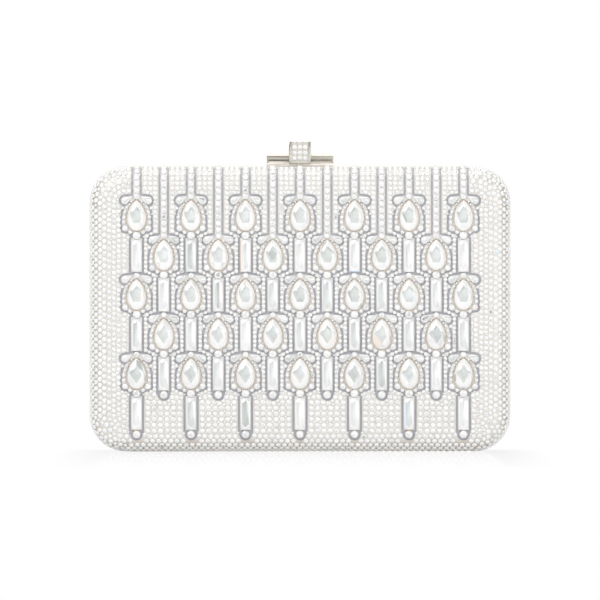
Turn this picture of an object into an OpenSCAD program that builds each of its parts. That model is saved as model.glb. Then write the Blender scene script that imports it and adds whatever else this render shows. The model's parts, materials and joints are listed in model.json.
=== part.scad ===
// Minaudiere: two hinged metal half shells set with crystals, closed by a sliding clasp.
// Each half is drawn in its own frame, x across, y up from the base, z out from the parting
// plane, and is then stood up as the front (towards -Y) or the back (towards +Y).

/* [Case] */
// Width of the closed case over its rims
case_w = 186; // [182:1:196]
// Height of the closed case without the clasp
case_h = 126; // [125:1:134]
// Radius of the four corners seen from the front
corner_r = 16; // [14:0.5:18]
// Radius of the rounded edge round each face, over the small stones
edge_r = 8; // [7:0.25:9]
// Depth of each half, from the parting plane to the top of its small stones
half_depth = 18; // [17:0.25:21]

/* [Shells and rims] */
// Wall of the pressed shells
shell_t = 1; // [0.8:0.1:1.3]
// Height of the small stones over the shell
pave_t = 1.2; // [1:0.1:1.4]
// Depth of each rim, from the parting plane
rim_t = 4.5; // [4:0.25:5.5]
// Width of each rim, from the outside inwards
rim_w = 5; // [4.8:0.1:6]
// Thickness of the spigot that the shell fits over
spigot_t = 0.6; // [0.5:0.05:0.8]
// Length of that spigot
spigot_l = 2.5; // [2:0.25:3.5]
// Thickness of the locating lip on the front rim
lip_t = 0.8; // [0.6:0.05:1]
// Reach of the lip into the groove of the back rim
lip_l = 0.6; // [0.4:0.05:0.65]
// Height above the base at which the lip starts
lip_from = 30; // [20:1:50]
// Thickness of the leather lining on its card
lining_t = 0.7; // [0.5:0.05:1]
// Width of the slip pocket
pocket_w = 122; // [90:1:140]
// Height of the slip pocket
pocket_h = 58; // [40:1:70]
// Thickness of the slip pocket
pocket_t = 1.2; // [0.8:0.1:1.6]
// Height of the pocket's lower edge over the base
pocket_lift = 26; // [20:1:40]
// Radius of the pocket's lower corners
pocket_corner_r = 5; // [2:0.5:10]

/* [Hinge] */
// Radius of the hinge barrel
knuckle_r = 1.5; // [1.4:0.05:1.6]
// Radius of the hinge pin
pin_r = 0.75; // [0.6:0.05:0.9]
// Length of the hinge
hinge_len = 120; // [90:1:140]
// Number of knuckles, those of both leaves together
knuckle_count = 9; // [5:2:13]
// Thickness of each hinge leaf
leaf_t = 0.7; // [0.5:0.05:0.9]
// Angle that the case opens to
open_angle = 90; // [60:1:90]
// Radius of the rivets in the hinge leaves
rivet_r = 0.45; // [0.35:0.05:0.55]
// Length of those rivets
rivet_l = 2.6; // [2:0.1:3.5]

/* [Base bands] */
// Length of the metal bands that the case stands on
band_len = 150; // [120:1:152]
// Number of rivets in each band
band_rivet_count = 4; // [2:1:6]
// Radius of the rivets in the bands
band_rivet_r = 0.8; // [0.6:0.05:1]

/* [Large stones] */
// Distance between the strands of one kind
column_pitch = 24; // [23.5:0.1:24.8]
// Least distance of a strand from the side of the case
side_border = 18.5; // [18:0.25:19]
// Distance between neighbouring rows of drops
row_pitch = 17.4; // [17.3:0.05:17.6]
// Distance of the first tip from the top of the case
first_drop = 15.1; // [14.6:0.1:15.8]
// Length of the pear stones
pear_l = 13.6; // [13.2:0.1:13.7]
// Width of the pear stones
pear_w = 8.4; // [8:0.1:8.6]
// Height of the pear stones over the shell
pear_h = 3.2; // [2.6:0.1:3.6]
// Length of the baguette stones
baguette_l = 14.3; // [13.5:0.1:14.4]
// Width of the baguette stones
baguette_w = 4.8; // [4.2:0.1:5]
// Height of the baguette stones
baguette_h = 2.4; // [2:0.1:3]
// Length of the leaf stones beside each pear
leaf_l = 5.9; // [5.5:0.1:6]
// Width of the leaf stones
leaf_w = 3.5; // [3.2:0.1:3.6]
// Height of the leaf stones
leaf_h = 1.9; // [1.5:0.1:2.2]
// Wall of the metal cups round the pears
cup_t = 0.22; // [0.15:0.01:0.25]
// Height of those cups
cup_h = 1.3; // [1:0.1:1.8]

/* [Round stones] */
// Radius of the round between a pear and its baguette
link_r = 1.8; // [1.6:0.05:1.85]
// Radius of the stones of the strands
strand_r = 1.38; // [1.25:0.01:1.4]
// Radius of the round that ends a strand
end_r = 1.75; // [1.6:0.05:1.9]
// Radius of the small stones of a halo
halo_r = 0.95; // [0.85:0.01:0.96]
// Radius of the two large stones of a halo
halo_big_r = 1.4; // [1.3:0.01:1.42]
// Height of the round stones
round_h = 1.5; // [1.2:0.1:1.7]
// Width of the bare channel round a strand
channel_w = 0.95; // [0.8:0.05:1]
// Clearance between neighbouring stones
stone_gap = 0.1; // [0.06:0.01:0.12]

/* [Small stones] */
// Distance between neighbouring rows of small stones round the edge
edge_row_rise = 1.97; // [1.8:0.01:2.2]
// Distance between neighbouring rows of small stones on the faces
face_row_rise = 2.33; // [2.1:0.01:2.6]
// Distance between the columns of small stones under the last drops
grid_pitch = 2.82; // [2.6:0.02:2.9]
// Distance between the columns of small stones beside the strands
strip_pitch = 2.28; // [2:0.02:2.3]
// Width of the hollow between two rows of small stones
hollow_w = 0.6; // [0.4:0.05:0.65]
// Depth of that hollow
hollow_d = 0.6; // [0.3:0.05:0.65]

/* [Clasp rail] */
// Length of the rail
rail_w = 29.5; // [29:0.5:33]
// Depth of the rail's foot
foot_d = 6; // [5.6:0.1:6.4]
// Height of the rail's foot
foot_h = 1.4; // [1.2:0.1:1.8]
// Height of the slot between foot and bar
slot_h = 1; // [0.9:0.05:1.3]
// Thickness of the web that carries the bar
web_t = 1.2; // [0.8:0.1:1.3]
// Depth of the rail's bar
bar_d = 5; // [4.8:0.1:5.4]
// Height of the rail's bar
bar_h = 3.1; // [2.6:0.1:3.6]
// Width of the posts at the ends of the rail
post_w = 0.8; // [0.7:0.05:1]
// Fall of the bar's ends
bar_fall = 0.85; // [0.4:0.05:1.2]
// Length of the bar's sloping ends
bar_slope_l = 2.5; // [1.5:0.1:3.5]
// Chamfer along the bar
bar_chamfer = 0.8; // [0.4:0.05:1]

/* [Clasp slider] */
// Width, depth and height of the slider
slider_size = 9.7; // [9.6:0.1:10.2]
// Height of the slider's lower edge over the case
slider_lift = 1.15; // [1:0.05:1.3]
// Border of metal round the slider's stones
slider_border = 1.3; // [1.2:0.05:1.4]
// Depth of the recess that the slider's stones stand in
slider_recess = 0.5; // [0.4:0.05:0.6]
// Radius of the slider's stones
slider_stone_r = 1.05; // [0.95:0.05:1.1]
// Travel of the slider each way
slider_travel = 8.5; // [7:0.25:8.5]
// Width of the latch stem
stem_w = 3; // [2.5:0.1:3.5]
// Depth of the latch stem
stem_d = 0.8; // [0.7:0.05:0.9]
// Height of the latch bar
bolt_h = 1.8; // [1.6:0.1:2.2]
// Depth of the latch bar
bolt_d = 1; // [0.9:0.05:1.1]
// Width of the catch spring
catch_w = 4.8; // [4:0.1:5]
// Thickness of the catch spring
catch_t = 0.4; // [0.3:0.05:0.45]

/* [Hidden] */
$fn = 48;

// Clearances
fit = 0.03;           // a pin or rivet in its hole
seat = 0.05;          // pieces that slide together or lie against each other
run = 0.15;           // pieces that move past each other
overrun = 0.5;        // how far a cut passes the face that it leaves
flush = 0.1;          // how far the small stones stay inside the outline of the rims

// The case
parting_y = (pear_h - pave_t) / 2;
face_z = half_depth - pave_t;
arc_r = edge_r - pave_t;
shell_in = pave_t + shell_t;
spigot_in = shell_in + seat;
lining_in = spigot_in + spigot_t + 2 * seat;
lip_in = shell_in - lip_t / 2;
axis_h = knuckle_r + seat;
groove_ease_angle = 2;
wedge_angle = open_angle / 2 + groove_ease_angle;

// The hinge
leaf_top = rim_w - run;
barrel_clear_r = knuckle_r + run;
knuckle_l = hinge_len / knuckle_count;
rivet_y = (axis_h + barrel_clear_r + leaf_top) / 2;
rivet_head_r = rivet_r + run;
band_d = half_depth - edge_r - rim_t - 2 * run;

// The clasp, measured up from the top of the case
bar_z = foot_h + slot_h;
bar_top = bar_z + bar_h;
stem_y = bar_d / 4;
stem_slot_w = stem_w + 2 * slider_travel + 2 * run;
stem_slot_d = stem_d + 2 * run;
spring_space = 0.6;          // height over the bar for the friction spring
jaw_reach = 0.9;             // how far the slider's jaws reach in under the bar
jaw_t = slot_h - 2 * seat;
cavity_d = bar_d + 2 * seat;
stem_top = bar_top + spring_space + 2 * run + stem_w / 2;
stem_pin_r = 0.4;
pin_hole_r = stem_pin_r + fit;
rail_pin_r = 0.7;
rail_pin_x = rail_w / 2 - post_w - 2 * rail_pin_r;
bolt_w = 2 * slider_travel + catch_w + 4 * run + 2 * bolt_d;
bolt_top = -rim_w - run;
bolt_bridge = 0.5;           // what is left over the notches of the latch bar
notch_w = catch_w + 4 * run;
catch_z = bolt_top - bolt_h - 2 * run;
catch_back = stem_y + bolt_d / 2 + 2 * run + catch_t;
catch_front = -rim_t + 3 * run;
catch_leg = -catch_t - run;
nose_h = bolt_h - bolt_bridge;
catch_screw_r = 0.5;
catch_screw_head_r = 0.85;
catch_screw_head_h = 0.5;
catch_screw_l = 2.2;
friction_w = slider_size - 2 * slider_border;
friction_d = 2.2;
friction_t = 0.25;
slider_stone_pitch = (slider_size - 2 * slider_border) / 3;
slider_stone_h = 0.8;

// The shape of a pear outline: where it is widest, as a share of its length
pear_wide_share = 0.6;
leaf_wide_share = 0.7;
pear_steps = 4;
leaf_steps = 3;
pear_table_share = 0.52;
baguette_table_share = 0.62;
leaf_table_share = 0.55;
leaf_slim_share = 0.14;
round_table_share = 0.6;
girdle_share = 0.3;

// Stones of one side of a halo, from the tip down: places as shares of the pear's width and
// length, and the radius as a share of the small halo stone's
halo_shares = [
    [0.263, 0.058, 0.6], [0.37, 0.139, 0.64], [0.488, 0.246, 0.72], [0.603, 0.388, 0.9],
    [0.658, 0.556, 1], [0.67, 0.72, 1], [0.335, 1.036, 1]
];
halo_big_share = [0.6, 0.912];

// Outline of the channel round a halo, as shares of its reach and of the pear's length
halo_window_shares = [
    [0.3, 0], [0.62, 0.06], [0.81, 0.17], [0.91, 0.29], [0.98, 0.45], [1, 0.6], [1, 0.75],
    [0.98, 0.92], [0.76, 1.06], [0.3, 1.14]
];

// The leaf stones: where their tips lie and how they lean
leaf_tip = [strand_r + stone_gap, strand_r + 5 * stone_gap];
leaf_lean = 30;

// Heights in a drop, measured down from the pear's tip
link_y = pear_l + stone_gap + link_r;
baguette_y = link_y + link_r + stone_gap;
end_y = baguette_y + baguette_l + stone_gap + end_r;
knot_y = -strand_r - stone_gap;
strand_pitch = 2 * strand_r + stone_gap;
halo_reach = pear_w / 2 + 2 * (halo_r + stone_gap) + channel_w;
row_count = 5;
column_count = 1 + 2 * floor((case_w / 2 - side_border) / column_pitch);

// The rows of small stones: the depth at which the edge starts to turn, how many rows lie on it
// (an odd number, so that no hollow lies on its middle), how many rings follow on a face, and how
// far in the field inside these rings starts
flat_start = half_depth - edge_r;
arc_row_count = 1 + 2 * floor(arc_r * PI / 4 / edge_row_rise);
face_ring_count = 2;
field_in = edge_r + (face_ring_count + 0.5) * edge_row_rise;
grid_reach = 2;              // hollows on each side of the one halfway between two strands
function column_middles(pitch) =
    let (reach = (column_count - 1) / 2 * column_pitch) [pitch / 2 - reach : pitch : reach];

function column_x(k, row) =
    let (count = column_count - row % 2) (k - (count - 1) / 2) * column_pitch;
function tip_y(row) = case_h - first_drop - row * row_pitch;
function drops() = [
    for (row = [0 : row_count - 1]) for (k = [0 : column_count - 1 - row % 2])
        [column_x(k, row), tip_y(row), row]
];
function is_last(row) = row >= row_count - 2;

// Outline of a pear, tip at the origin and round end towards -y. Its flanks are arcs that pass
// through the tip, drawn in by a share where they are slimmer, and its end is half an ellipse.
function pear_outline(len, wid, wide_share, steps, slim_share = 0) =
    let (
        wide = len * wide_share,
        half = wid / 2,
        flank_r = (half * half + wide * wide) / wid,
        swing = asin(wide / flank_r),
        flank = [for (i = [0 : steps - 1])
            let (
                a = swing * (1 - i / steps),
                slim = half * slim_share * sin(180 * i / steps)
            )
            [half - flank_r + flank_r * cos(a) - slim, -wide + flank_r * sin(a)]],
        end = [for (i = [0 : steps])
            let (a = 90 * i / steps) [half * cos(a), -wide - (len - wide) * sin(a)]]
    )
    concat(
        [for (p = flank) p], [for (p = end) p],
        [for (i = [steps - 1 : -1 : 0]) [-end[i][0], end[i][1]]],
        [for (i = [steps - 1 : -1 : 1]) [-flank[i][0], flank[i][1]]]
    );

// How a stone lies on the shell at a height y: its height, its depth and its tilt
function face_spot(y) =
    let (a = y >= edge_r ? 0 : asin((edge_r - y) / arc_r))
    [y, half_depth - edge_r + arc_r * cos(a), a];

// Where a strand's stone sits: s is measured along the shell, upwards from where the rounded
// edge starts. Gives the height, the depth and the tilt.
arc_l = arc_r * PI / 2;
function strand_spot(s) =
    s <= 0 ? [case_h - edge_r + s, face_z, 0] :
    s <= arc_l ? let (a = 90 * s / arc_l)
        [case_h - edge_r + arc_r * sin(a), half_depth - edge_r + arc_r * cos(a), a] :
    [case_h - pave_t, half_depth - edge_r - (s - arc_l), 90];

// Stands a half up as the front or the back of the case
module as_front() { translate([0, parting_y, 0]) rotate([90, 0, 0]) children(); }
module as_back() { translate([0, parting_y, 0]) mirror([0, 1, 0]) rotate([90, 0, 0]) children(); }
// Puts the clasp on the top of the case
module on_top() { translate([0, parting_y, case_h]) children(); }

// The outline of the case, moved inwards
module plan(inset) {
    r = corner_r - inset;
    w = case_w - 2 * inset;
    translate([-w / 2 + r, inset]) square([w - 2 * r, case_h - 2 * inset]);
    translate([-w / 2, inset + r]) square([w, case_h - 2 * inset - 2 * r]);
    for (x = [-w / 2 + r, w / 2 - r]) for (y = [inset + r, case_h - inset - r])
        translate([x, y]) circle(r);
}

module ring(outer, inner, height) {
    linear_extrude(height) difference() {
        plan(outer);
        plan(inner);
    }
}

module edge_profile(r, depth, edge) {
    square([r - edge, depth]);
    square([r, depth - edge]);
    translate([r - edge, depth - edge]) circle(edge);
}

// A block with the outline of the case, moved inwards, and a rounded front edge
module cushion(inset, depth, edge) {
    r = corner_r - inset;
    x = case_w / 2 - corner_r;
    y = case_h / 2 - corner_r;
    translate([0, case_h / 2, 0]) {
        translate([-x, -y, 0]) cube([2 * x, 2 * y, depth]);
        for (k = [[x, y, 0], [-x, y, 90], [-x, -y, 180], [x, -y, 270]])
            translate([k[0], k[1], 0]) rotate(k[2]) rotate_extrude(angle = 90)
                edge_profile(r, depth, edge);
        for (k = [[x, y, 0, y], [-x, y, 90, x], [-x, -y, 180, y], [x, -y, 270, x]])
            translate([k[0], k[1], 0]) rotate(k[2]) rotate([90, 0, 0])
                linear_extrude(2 * k[3]) edge_profile(r, depth, edge);
    }
}

// The small stones' bed and each shell and lining are shells of such blocks
module cushion_wall(inset, depth, edge, wall) {
    difference() {
        cushion(inset, depth, edge);
        translate([0, 0, -overrun]) cushion(inset + wall, depth - wall + overrun, edge - wall);
    }
}

module above_rim(gap = 0) {
    intersection() {
        children();
        translate([-case_w, -case_h, rim_t + gap]) cube([2 * case_w, 3 * case_h, 2 * half_depth]);
    }
}

module shell() {
    difference() {
        above_rim() cushion_wall(pave_t, face_z, arc_r, shell_t);
        band_rivet_holes();
    }
}

module lining() {
    above_rim() cushion_wall(lining_in, face_z - shell_t - seat, arc_r - shell_t - seat, lining_t);
}

module lip_zone(gap) {
    clasp_half = rail_w / 2 + 4 * run;
    for (side = [-1, 1])
        translate([side > 0 ? clasp_half - gap : -case_w, lip_from - gap, -2 * lip_l])
            cube([case_w - clasp_half + gap, case_h, 4 * lip_l]);
}

// The wedge cut from the lower edge of each rim, under the hinge, so that the case can open
module hinge_groove() {
    reach = axis_h + overrun;
    translate([case_w / 2, 0, 0]) rotate([0, -90, 0]) linear_extrude(case_w) polygon([
        [-overrun, axis_h], [0, axis_h], [reach * tan(wedge_angle), -overrun],
        [-overrun, -overrun]
    ]);
}

module rim(is_back) {
    difference() {
        union() {
            ring(0, rim_w, rim_t);
            translate([0, 0, rim_t]) ring(spigot_in, spigot_in + spigot_t, spigot_l);
            if (!is_back) intersection() {
                translate([0, 0, -lip_l]) ring(lip_in, lip_in + lip_t, lip_l + rim_t / 2);
                lip_zone(0);
            }
        }
        hinge_groove();
        translate([-hinge_len / 2 - run, axis_h, 0]) rotate([0, 90, 0])
            cylinder(h = hinge_len + 2 * run, r = barrel_clear_r);
        translate([-hinge_len / 2 - run, axis_h, -overrun])
            cube([hinge_len + 2 * run, leaf_top + seat - axis_h, leaf_t + seat + overrun]);
        rivet_spots() cylinder(h = rivet_l + seat, r = rivet_r + fit);
        if (is_back) {
            intersection() {
                translate([0, 0, -run]) ring(lip_in - run, lip_in + lip_t + run, lip_l + 2 * run);
                lip_zone(4 * run);
            }
            translate([-stem_slot_w / 2, case_h - rim_w - overrun, stem_y - stem_slot_d / 2])
                cube([stem_slot_w, rim_w + 2 * overrun, stem_slot_d]);
            for (x = [-rail_pin_x, rail_pin_x])
                translate([x, case_h + overrun, rim_t / 2]) rotate([90, 0, 0])
                    cylinder(h = rim_w / 2 + seat + overrun, r = rail_pin_r + fit);
        } else {
            catch_screw_spots() rotate([-90, 0, 0])
                cylinder(h = catch_screw_l + seat, r = catch_screw_r + fit);
        }
    }
}

module rivet_spots() {
    for (k = [0 : knuckle_count - 1])
        translate([(k + 1 / 2) * knuckle_l - hinge_len / 2, rivet_y, 0]) children();
}

module hinge_leaf(is_back) {
    own = is_back ? 0 : 1;
    difference() {
        union() {
            translate([-hinge_len / 2, axis_h, seat]) cube([hinge_len, leaf_top - axis_h, leaf_t]);
            for (k = [own : 2 : knuckle_count - 1]) knuckle(k, knuckle_r, -run / 2);
        }
        for (k = [1 - own : 2 : knuckle_count - 1]) knuckle(k, barrel_clear_r, run / 2);
        translate([-hinge_len / 2 - overrun, axis_h, 0]) rotate([0, 90, 0])
            cylinder(h = hinge_len + 2 * overrun, r = pin_r + fit);
        rivet_spots() {
            cylinder(h = rivet_l, r = rivet_r + fit);
            cylinder(h = seat + leaf_t / 2, r = rivet_head_r + fit);
        }
    }
}

module knuckle(k, r, grow) {
    translate([k * knuckle_l - hinge_len / 2 - grow, axis_h, 0]) rotate([0, 90, 0])
        cylinder(h = knuckle_l + 2 * grow, r = r);
}

module hinge_rivets() {
    rivet_spots() translate([0, 0, seat]) {
        cylinder(h = rivet_l - seat, r = rivet_r);
        cylinder(h = leaf_t / 2 - seat, r = rivet_head_r);
    }
}

module hinge_pin() {
    color("gainsboro") translate([-hinge_len / 2, parting_y, axis_h]) rotate([0, 90, 0])
        cylinder(h = hinge_len, r = pin_r);
}

module band_spots() {
    step = band_len / band_rivet_count;
    for (k = [0 : band_rivet_count - 1])
        translate([(k + 1 / 2) * step - band_len / 2, 0, rim_t + band_d / 2]) rotate([-90, 0, 0])
            children();
}
module band_rivet_holes() {
    band_spots() translate([0, 0, -overrun])
        cylinder(h = shell_in + 2 * overrun, r = band_rivet_r + fit);
}
module base_band() {
    difference() {
        translate([-band_len / 2, 0, rim_t]) cube([band_len, pave_t, band_d]);
        band_rivet_holes();
    }
}
module band_rivets() {
    band_spots() translate([0, 0, seat]) cylinder(h = shell_in - seat, r = band_rivet_r);
}

// The hollows between the rows of small stones: rings that follow the outline of the case, then
// columns on the front and rows on the back
module stone_hollows(is_front) {
    half = hollow_w / 2;
    for (z = [flat_start - edge_row_rise : -edge_row_rise : rim_t + edge_row_rise / 2])
        hollow_slab(z);
    for (k = [0 : arc_row_count]) {
        a = 90 * k / arc_row_count;
        if (a < 45) hollow_slab(flat_start + edge_r * sin(a));
        else hollow_ring(edge_r - edge_r * cos(a));
    }
    for (k = [1 : face_ring_count]) hollow_ring(edge_r + k * edge_row_rise);
    if (is_front) {
        grid_top = tip_y(row_count - 1) - link_y;
        for (x = column_middles(column_pitch), k = [-grid_reach : grid_reach])
            hollow_column(x + k * grid_pitch, field_in, grid_top);
        for (x = column_middles(column_pitch / 2), side = [-1, 1])
            hollow_column(x + side * strip_pitch / 2, grid_top, case_h - field_in);
    } else
        for (y = [field_in + hollow_w : face_row_rise : case_h - field_in - hollow_w])
            translate([field_in - case_w / 2, y - half, flat_start])
                cube([case_w - 2 * field_in, hollow_w, 2 * edge_r]);
}

module hollow_slab(z) {
    translate([-case_w, -case_h, z - hollow_w / 2]) cube([2 * case_w, 3 * case_h, hollow_w]);
}

module hollow_ring(inset) {
    translate([0, 0, flat_start]) ring(inset - hollow_w / 2, inset + hollow_w / 2, 2 * edge_r);
}

module hollow_column(x, y0, y1) {
    translate([x - hollow_w / 2, y0, flat_start]) cube([hollow_w, y1 - y0, 2 * edge_r]);
}

// The bed stands for the small stones. The strands' channels are open through it.
module pave_bed(is_front) {
    difference() {
        above_rim(seat)
            cushion_wall(flush, half_depth - flush, edge_r - flush, pave_t - flush);
        translate([-band_len / 2 - seat, -overrun, 0])
            cube([band_len + 2 * seat, pave_t + 2 * overrun, rim_t + band_d + seat]);
        difference() {
            stone_hollows(is_front);
            cushion(flush + hollow_d, half_depth - flush - hollow_d, edge_r - flush - hollow_d);
        }
        if (is_front) {
            for (d = drops()) translate([d[0], d[1], face_z - arc_r]) linear_extrude(2 * arc_r)
                drop_window(d[2]);
            for (row = [0, 1]) for (k = [0 : column_count - 1 - row])
                translate([column_x(k, row) - strand_r - channel_w, tip_y(row), 0])
                    cube([2 * (strand_r + channel_w), case_h, 2 * half_depth]);
        }
    }
}

// A circle at the origin joined to a smaller one at d by their tangents
module teardrop(d, r1, r2) {
    len = norm(d);
    lean = atan2(d[1], d[0]);
    a = acos((r1 - r2) / len);
    circle(r1);
    translate(d) circle(r2);
    rotate(lean) polygon([
        [r1 * cos(a), r1 * sin(a)], [len + r2 * cos(a), r2 * sin(a)],
        [len + r2 * cos(a), -r2 * sin(a)], [r1 * cos(a), -r1 * sin(a)]
    ]);
}

module drop_window(row) {
    half = baguette_w / 2 + channel_w;
    foot = is_last(row) ? end_y : 2 * row_pitch;
    polygon(concat(
        [for (p = halo_window_shares) [p[0] * halo_reach, -p[1] * pear_l]],
        [for (i = [len(halo_window_shares) - 1 : -1 : 0])
            let (p = halo_window_shares[i]) [-p[0] * halo_reach, -p[1] * pear_l]]
    ));
    for (side = [-1, 1]) {
        translate([side * pear_w * halo_big_share[0], -pear_l * halo_big_share[1]])
            circle(halo_big_r + channel_w);
        mirror([side < 0 ? 1 : 0, 0]) translate(leaf_tip) rotate(-leaf_lean)
            translate([leaf_l - leaf_w / 2, 0])
                teardrop([leaf_w / 2 - leaf_l, 0], leaf_w / 2 + channel_w, channel_w);
    }
    translate([-half, -foot]) square([2 * half, foot - pear_l]);
    if (is_last(row)) translate([0, -end_y]) circle(end_r + channel_w);
}

// A stone cut from an outline: a girdle, then a crown up to a flat table
module cut_stone(outline, height, table_share, middle) {
    n = len(outline);
    girdle = height * girdle_share;
    polyhedron(
        points = concat(
            [for (p = outline) [p[0], p[1], 0]],
            [for (p = outline) [p[0], p[1], girdle]],
            [for (p = outline) let (q = middle + (p - middle) * table_share) [q[0], q[1], height]]
        ),
        faces = concat(
            [[for (i = [0 : n - 1]) i]],
            [for (t = [0, 1]) for (i = [0 : n - 1])
                let (j = (i + 1) % n) [t * n + j, t * n + i, t * n + n + i, t * n + n + j]],
            [[for (i = [n - 1 : -1 : 0]) 2 * n + i]]
        )
    );
}

module round_stone(r, height) {
    cylinder(h = height, r1 = r, r2 = r * round_table_share, $fn = 24);
}

module at_drops() {
    for (d = drops()) translate([d[0], d[1], face_z]) children();
}

module pear_stones() {
    outline = pear_outline(pear_l, pear_w, pear_wide_share, pear_steps);
    color("white") as_front() at_drops()
        cut_stone(outline, pear_h, pear_table_share, [0, -pear_l * pear_wide_share]);
}

module pear_cups() {
    middle = [0, -pear_l * pear_wide_share];
    inner = pear_outline(pear_l, pear_w, pear_wide_share, pear_steps);
    grow_in = 1 + 2 * fit / pear_w;
    grow_out = 1 + 2 * (fit + cup_t) / pear_w;
    color("tan") as_front() at_drops() linear_extrude(cup_h) difference() {
        polygon([for (p = inner) middle + (p - middle) * grow_out]);
        polygon([for (p = inner) middle + (p - middle) * grow_in]);
        translate([0, -knot_y]) circle(strand_r + seat);
        translate([0, -link_y]) circle(link_r + seat);
    }
}

module baguette_stones() {
    w = baguette_w / 2;
    color("white") as_front() at_drops() translate([0, -baguette_y - baguette_l / 2, 0])
        cut_stone([for (c = [[-1, 1], [1, 1], [1, -1], [-1, -1]]) [c[0] * w, c[1] * baguette_l / 2]],
            baguette_h, baguette_table_share, [0, 0]);
}

module leaf_stones() {
    outline = [for (p = pear_outline(leaf_l, leaf_w, leaf_wide_share, leaf_steps, leaf_slim_share))
        [-p[1], p[0]]];
    color("white") as_front() at_drops() for (side = [0, 1]) mirror([side, 0, 0])
        translate(leaf_tip) rotate(-leaf_lean)
            cut_stone(outline, leaf_h, leaf_table_share, [leaf_l * leaf_wide_share, 0]);
}

module link_stones() {
    color("white") as_front() for (d = drops()) {
        translate([d[0], d[1] - link_y, face_z]) round_stone(link_r, leaf_h);
        if (is_last(d[2])) {
            spot = face_spot(d[1] - end_y);
            translate([d[0], spot[0], spot[1]]) rotate([spot[2], 0, 0])
                round_stone(end_r, leaf_h);
        }
        if (d[2] > 1) translate([d[0], d[1] - knot_y, face_z]) round_stone(strand_r, round_h);
    }
}

module halo_stones() {
    color("white") as_front() at_drops() for (side = [-1, 1]) {
        for (h = halo_shares) translate([side * h[0] * pear_w, -h[1] * pear_l, 0])
            round_stone(halo_r * h[2], round_h);
        translate([side * halo_big_share[0] * pear_w, -halo_big_share[1] * pear_l, 0])
            round_stone(halo_big_r, leaf_h);
    }
}

module strand_stones() {
    path_end = arc_l + half_depth - edge_r - rim_t - strand_r;
    color("white") as_front() for (row = [0, 1]) {
        start = tip_y(row) - knot_y - (case_h - edge_r);
        count = floor((path_end - start) / strand_pitch);
        for (k = [0 : column_count - 1 - row]) for (i = [0 : count]) {
            spot = strand_spot(start + i * strand_pitch);
            translate([column_x(k, row), spot[0], spot[1]]) rotate([-spot[2], 0, 0])
                round_stone(strand_r, round_h);
        }
    }
}

// The rail of the clasp: a foot over both rims, fixed to the back one, two posts and a bar
module clasp_rail() {
    color("silver") on_top() difference() {
        union() {
            translate([-rail_w / 2, 0, 0]) cube([rail_w, foot_d / 2, foot_h]);
            translate([-rail_w / 2, -foot_d / 2, run]) cube([rail_w, foot_d, foot_h - run]);
            for (side = [-1, 1])
                translate([side * (rail_w - post_w) / 2 - post_w / 2, -bar_d / 2, run])
                    cube([post_w, bar_d, bar_z + bar_chamfer - run]);
            rail_bar();
            translate([-rail_w / 2, -web_t, run]) cube([rail_w, web_t, bar_z + bar_chamfer - run]);
        }
        translate([-stem_slot_w / 2, stem_y - stem_slot_d / 2, -overrun])
            cube([stem_slot_w, stem_slot_d, bar_top + 2 * overrun]);
        for (x = [-rail_pin_x, rail_pin_x]) translate([x, rim_t / 2, -overrun])
            cylinder(h = foot_h - 2 * seat + overrun, r = rail_pin_r + fit);
    }
}

module rail_bar() {
    half = rail_w / 2;
    d = bar_d / 2;
    intersection() {
        translate([0, d, 0]) rotate([90, 0, 0]) linear_extrude(bar_d) polygon([
            [-half, bar_z], [half, bar_z], [half, bar_top - bar_fall],
            [half - bar_slope_l, bar_top], [bar_slope_l - half, bar_top],
            [-half, bar_top - bar_fall]
        ]);
        translate([-half, 0, 0]) rotate([90, 0, 90]) linear_extrude(rail_w) polygon([
            [-d + bar_chamfer / 2, bar_z], [-d, bar_z + bar_chamfer],
            [-d, bar_top - bar_chamfer], [-d + bar_chamfer, bar_top],
            [d - bar_chamfer, bar_top], [d, bar_top - bar_chamfer],
            [d, bar_z + bar_chamfer], [d - bar_chamfer / 2, bar_z]
        ]);
    }
}

module rail_pins() {
    color("silver") on_top() for (x = [-rail_pin_x, rail_pin_x])
        translate([x, rim_t / 2, -rim_w / 2])
            cylinder(h = rim_w / 2 + foot_h - 3 * seat, r = rail_pin_r);
}

// Places on the slider's front, back and top faces, z out of the face
module slider_faces() {
    half = slider_size / 2;
    translate([0, 0, slider_lift]) {
        translate([0, -half, half]) rotate([90, 0, 0]) children();
        translate([0, half, half]) rotate([-90, 0, 0]) children();
        translate([0, 0, slider_size]) children();
    }
}

module clasp_slider() {
    half = slider_size / 2;
    well = slider_size - 2 * slider_border;
    color("silver") on_top() difference() {
        translate([-half, -half, slider_lift]) cube(slider_size);
        translate([-well / 2, -half - overrun, slider_lift + slider_border]) difference() {
            cube([well, slider_size + 2 * overrun, slider_size]);
            translate([-overrun, slider_recess + overrun, -overrun])
                cube([well + 2 * overrun, slider_size - 2 * slider_recess,
                    slider_size - slider_border - slider_recess + overrun]);
        }
        translate([-slider_size, -cavity_d / 2, bar_z - seat])
            cube([2 * slider_size, cavity_d, bar_h + 2 * seat]);
        translate([-friction_w / 2 - seat, -stem_y - friction_d / 2 - seat, bar_z])
            cube([friction_w + 2 * seat, friction_d + 2 * seat, bar_h + spring_space]);
        translate([-slider_size, -cavity_d / 2 + jaw_reach, 0])
            cube([2 * slider_size, cavity_d - 2 * jaw_reach, bar_z]);
        translate([-slider_size, -foot_d / 2 - run, 0])
            cube([2 * slider_size, foot_d + 2 * run, bar_z - seat - jaw_t]);
        translate([-stem_w / 2 - seat, stem_y - stem_d / 2 - seat, bar_z])
            cube([stem_w + 2 * seat, stem_d + 2 * seat, stem_top + seat - bar_z]);
        stem_pin_hole();
    }
}

module stem_pin_hole() {
    translate([0, stem_y - stem_w / 2, stem_top - stem_w / 3]) rotate([-90, 0, 0])
        cylinder(h = slider_size / 2 - slider_recess - stem_y + stem_w / 2 + run, r = pin_hole_r);
}

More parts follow.
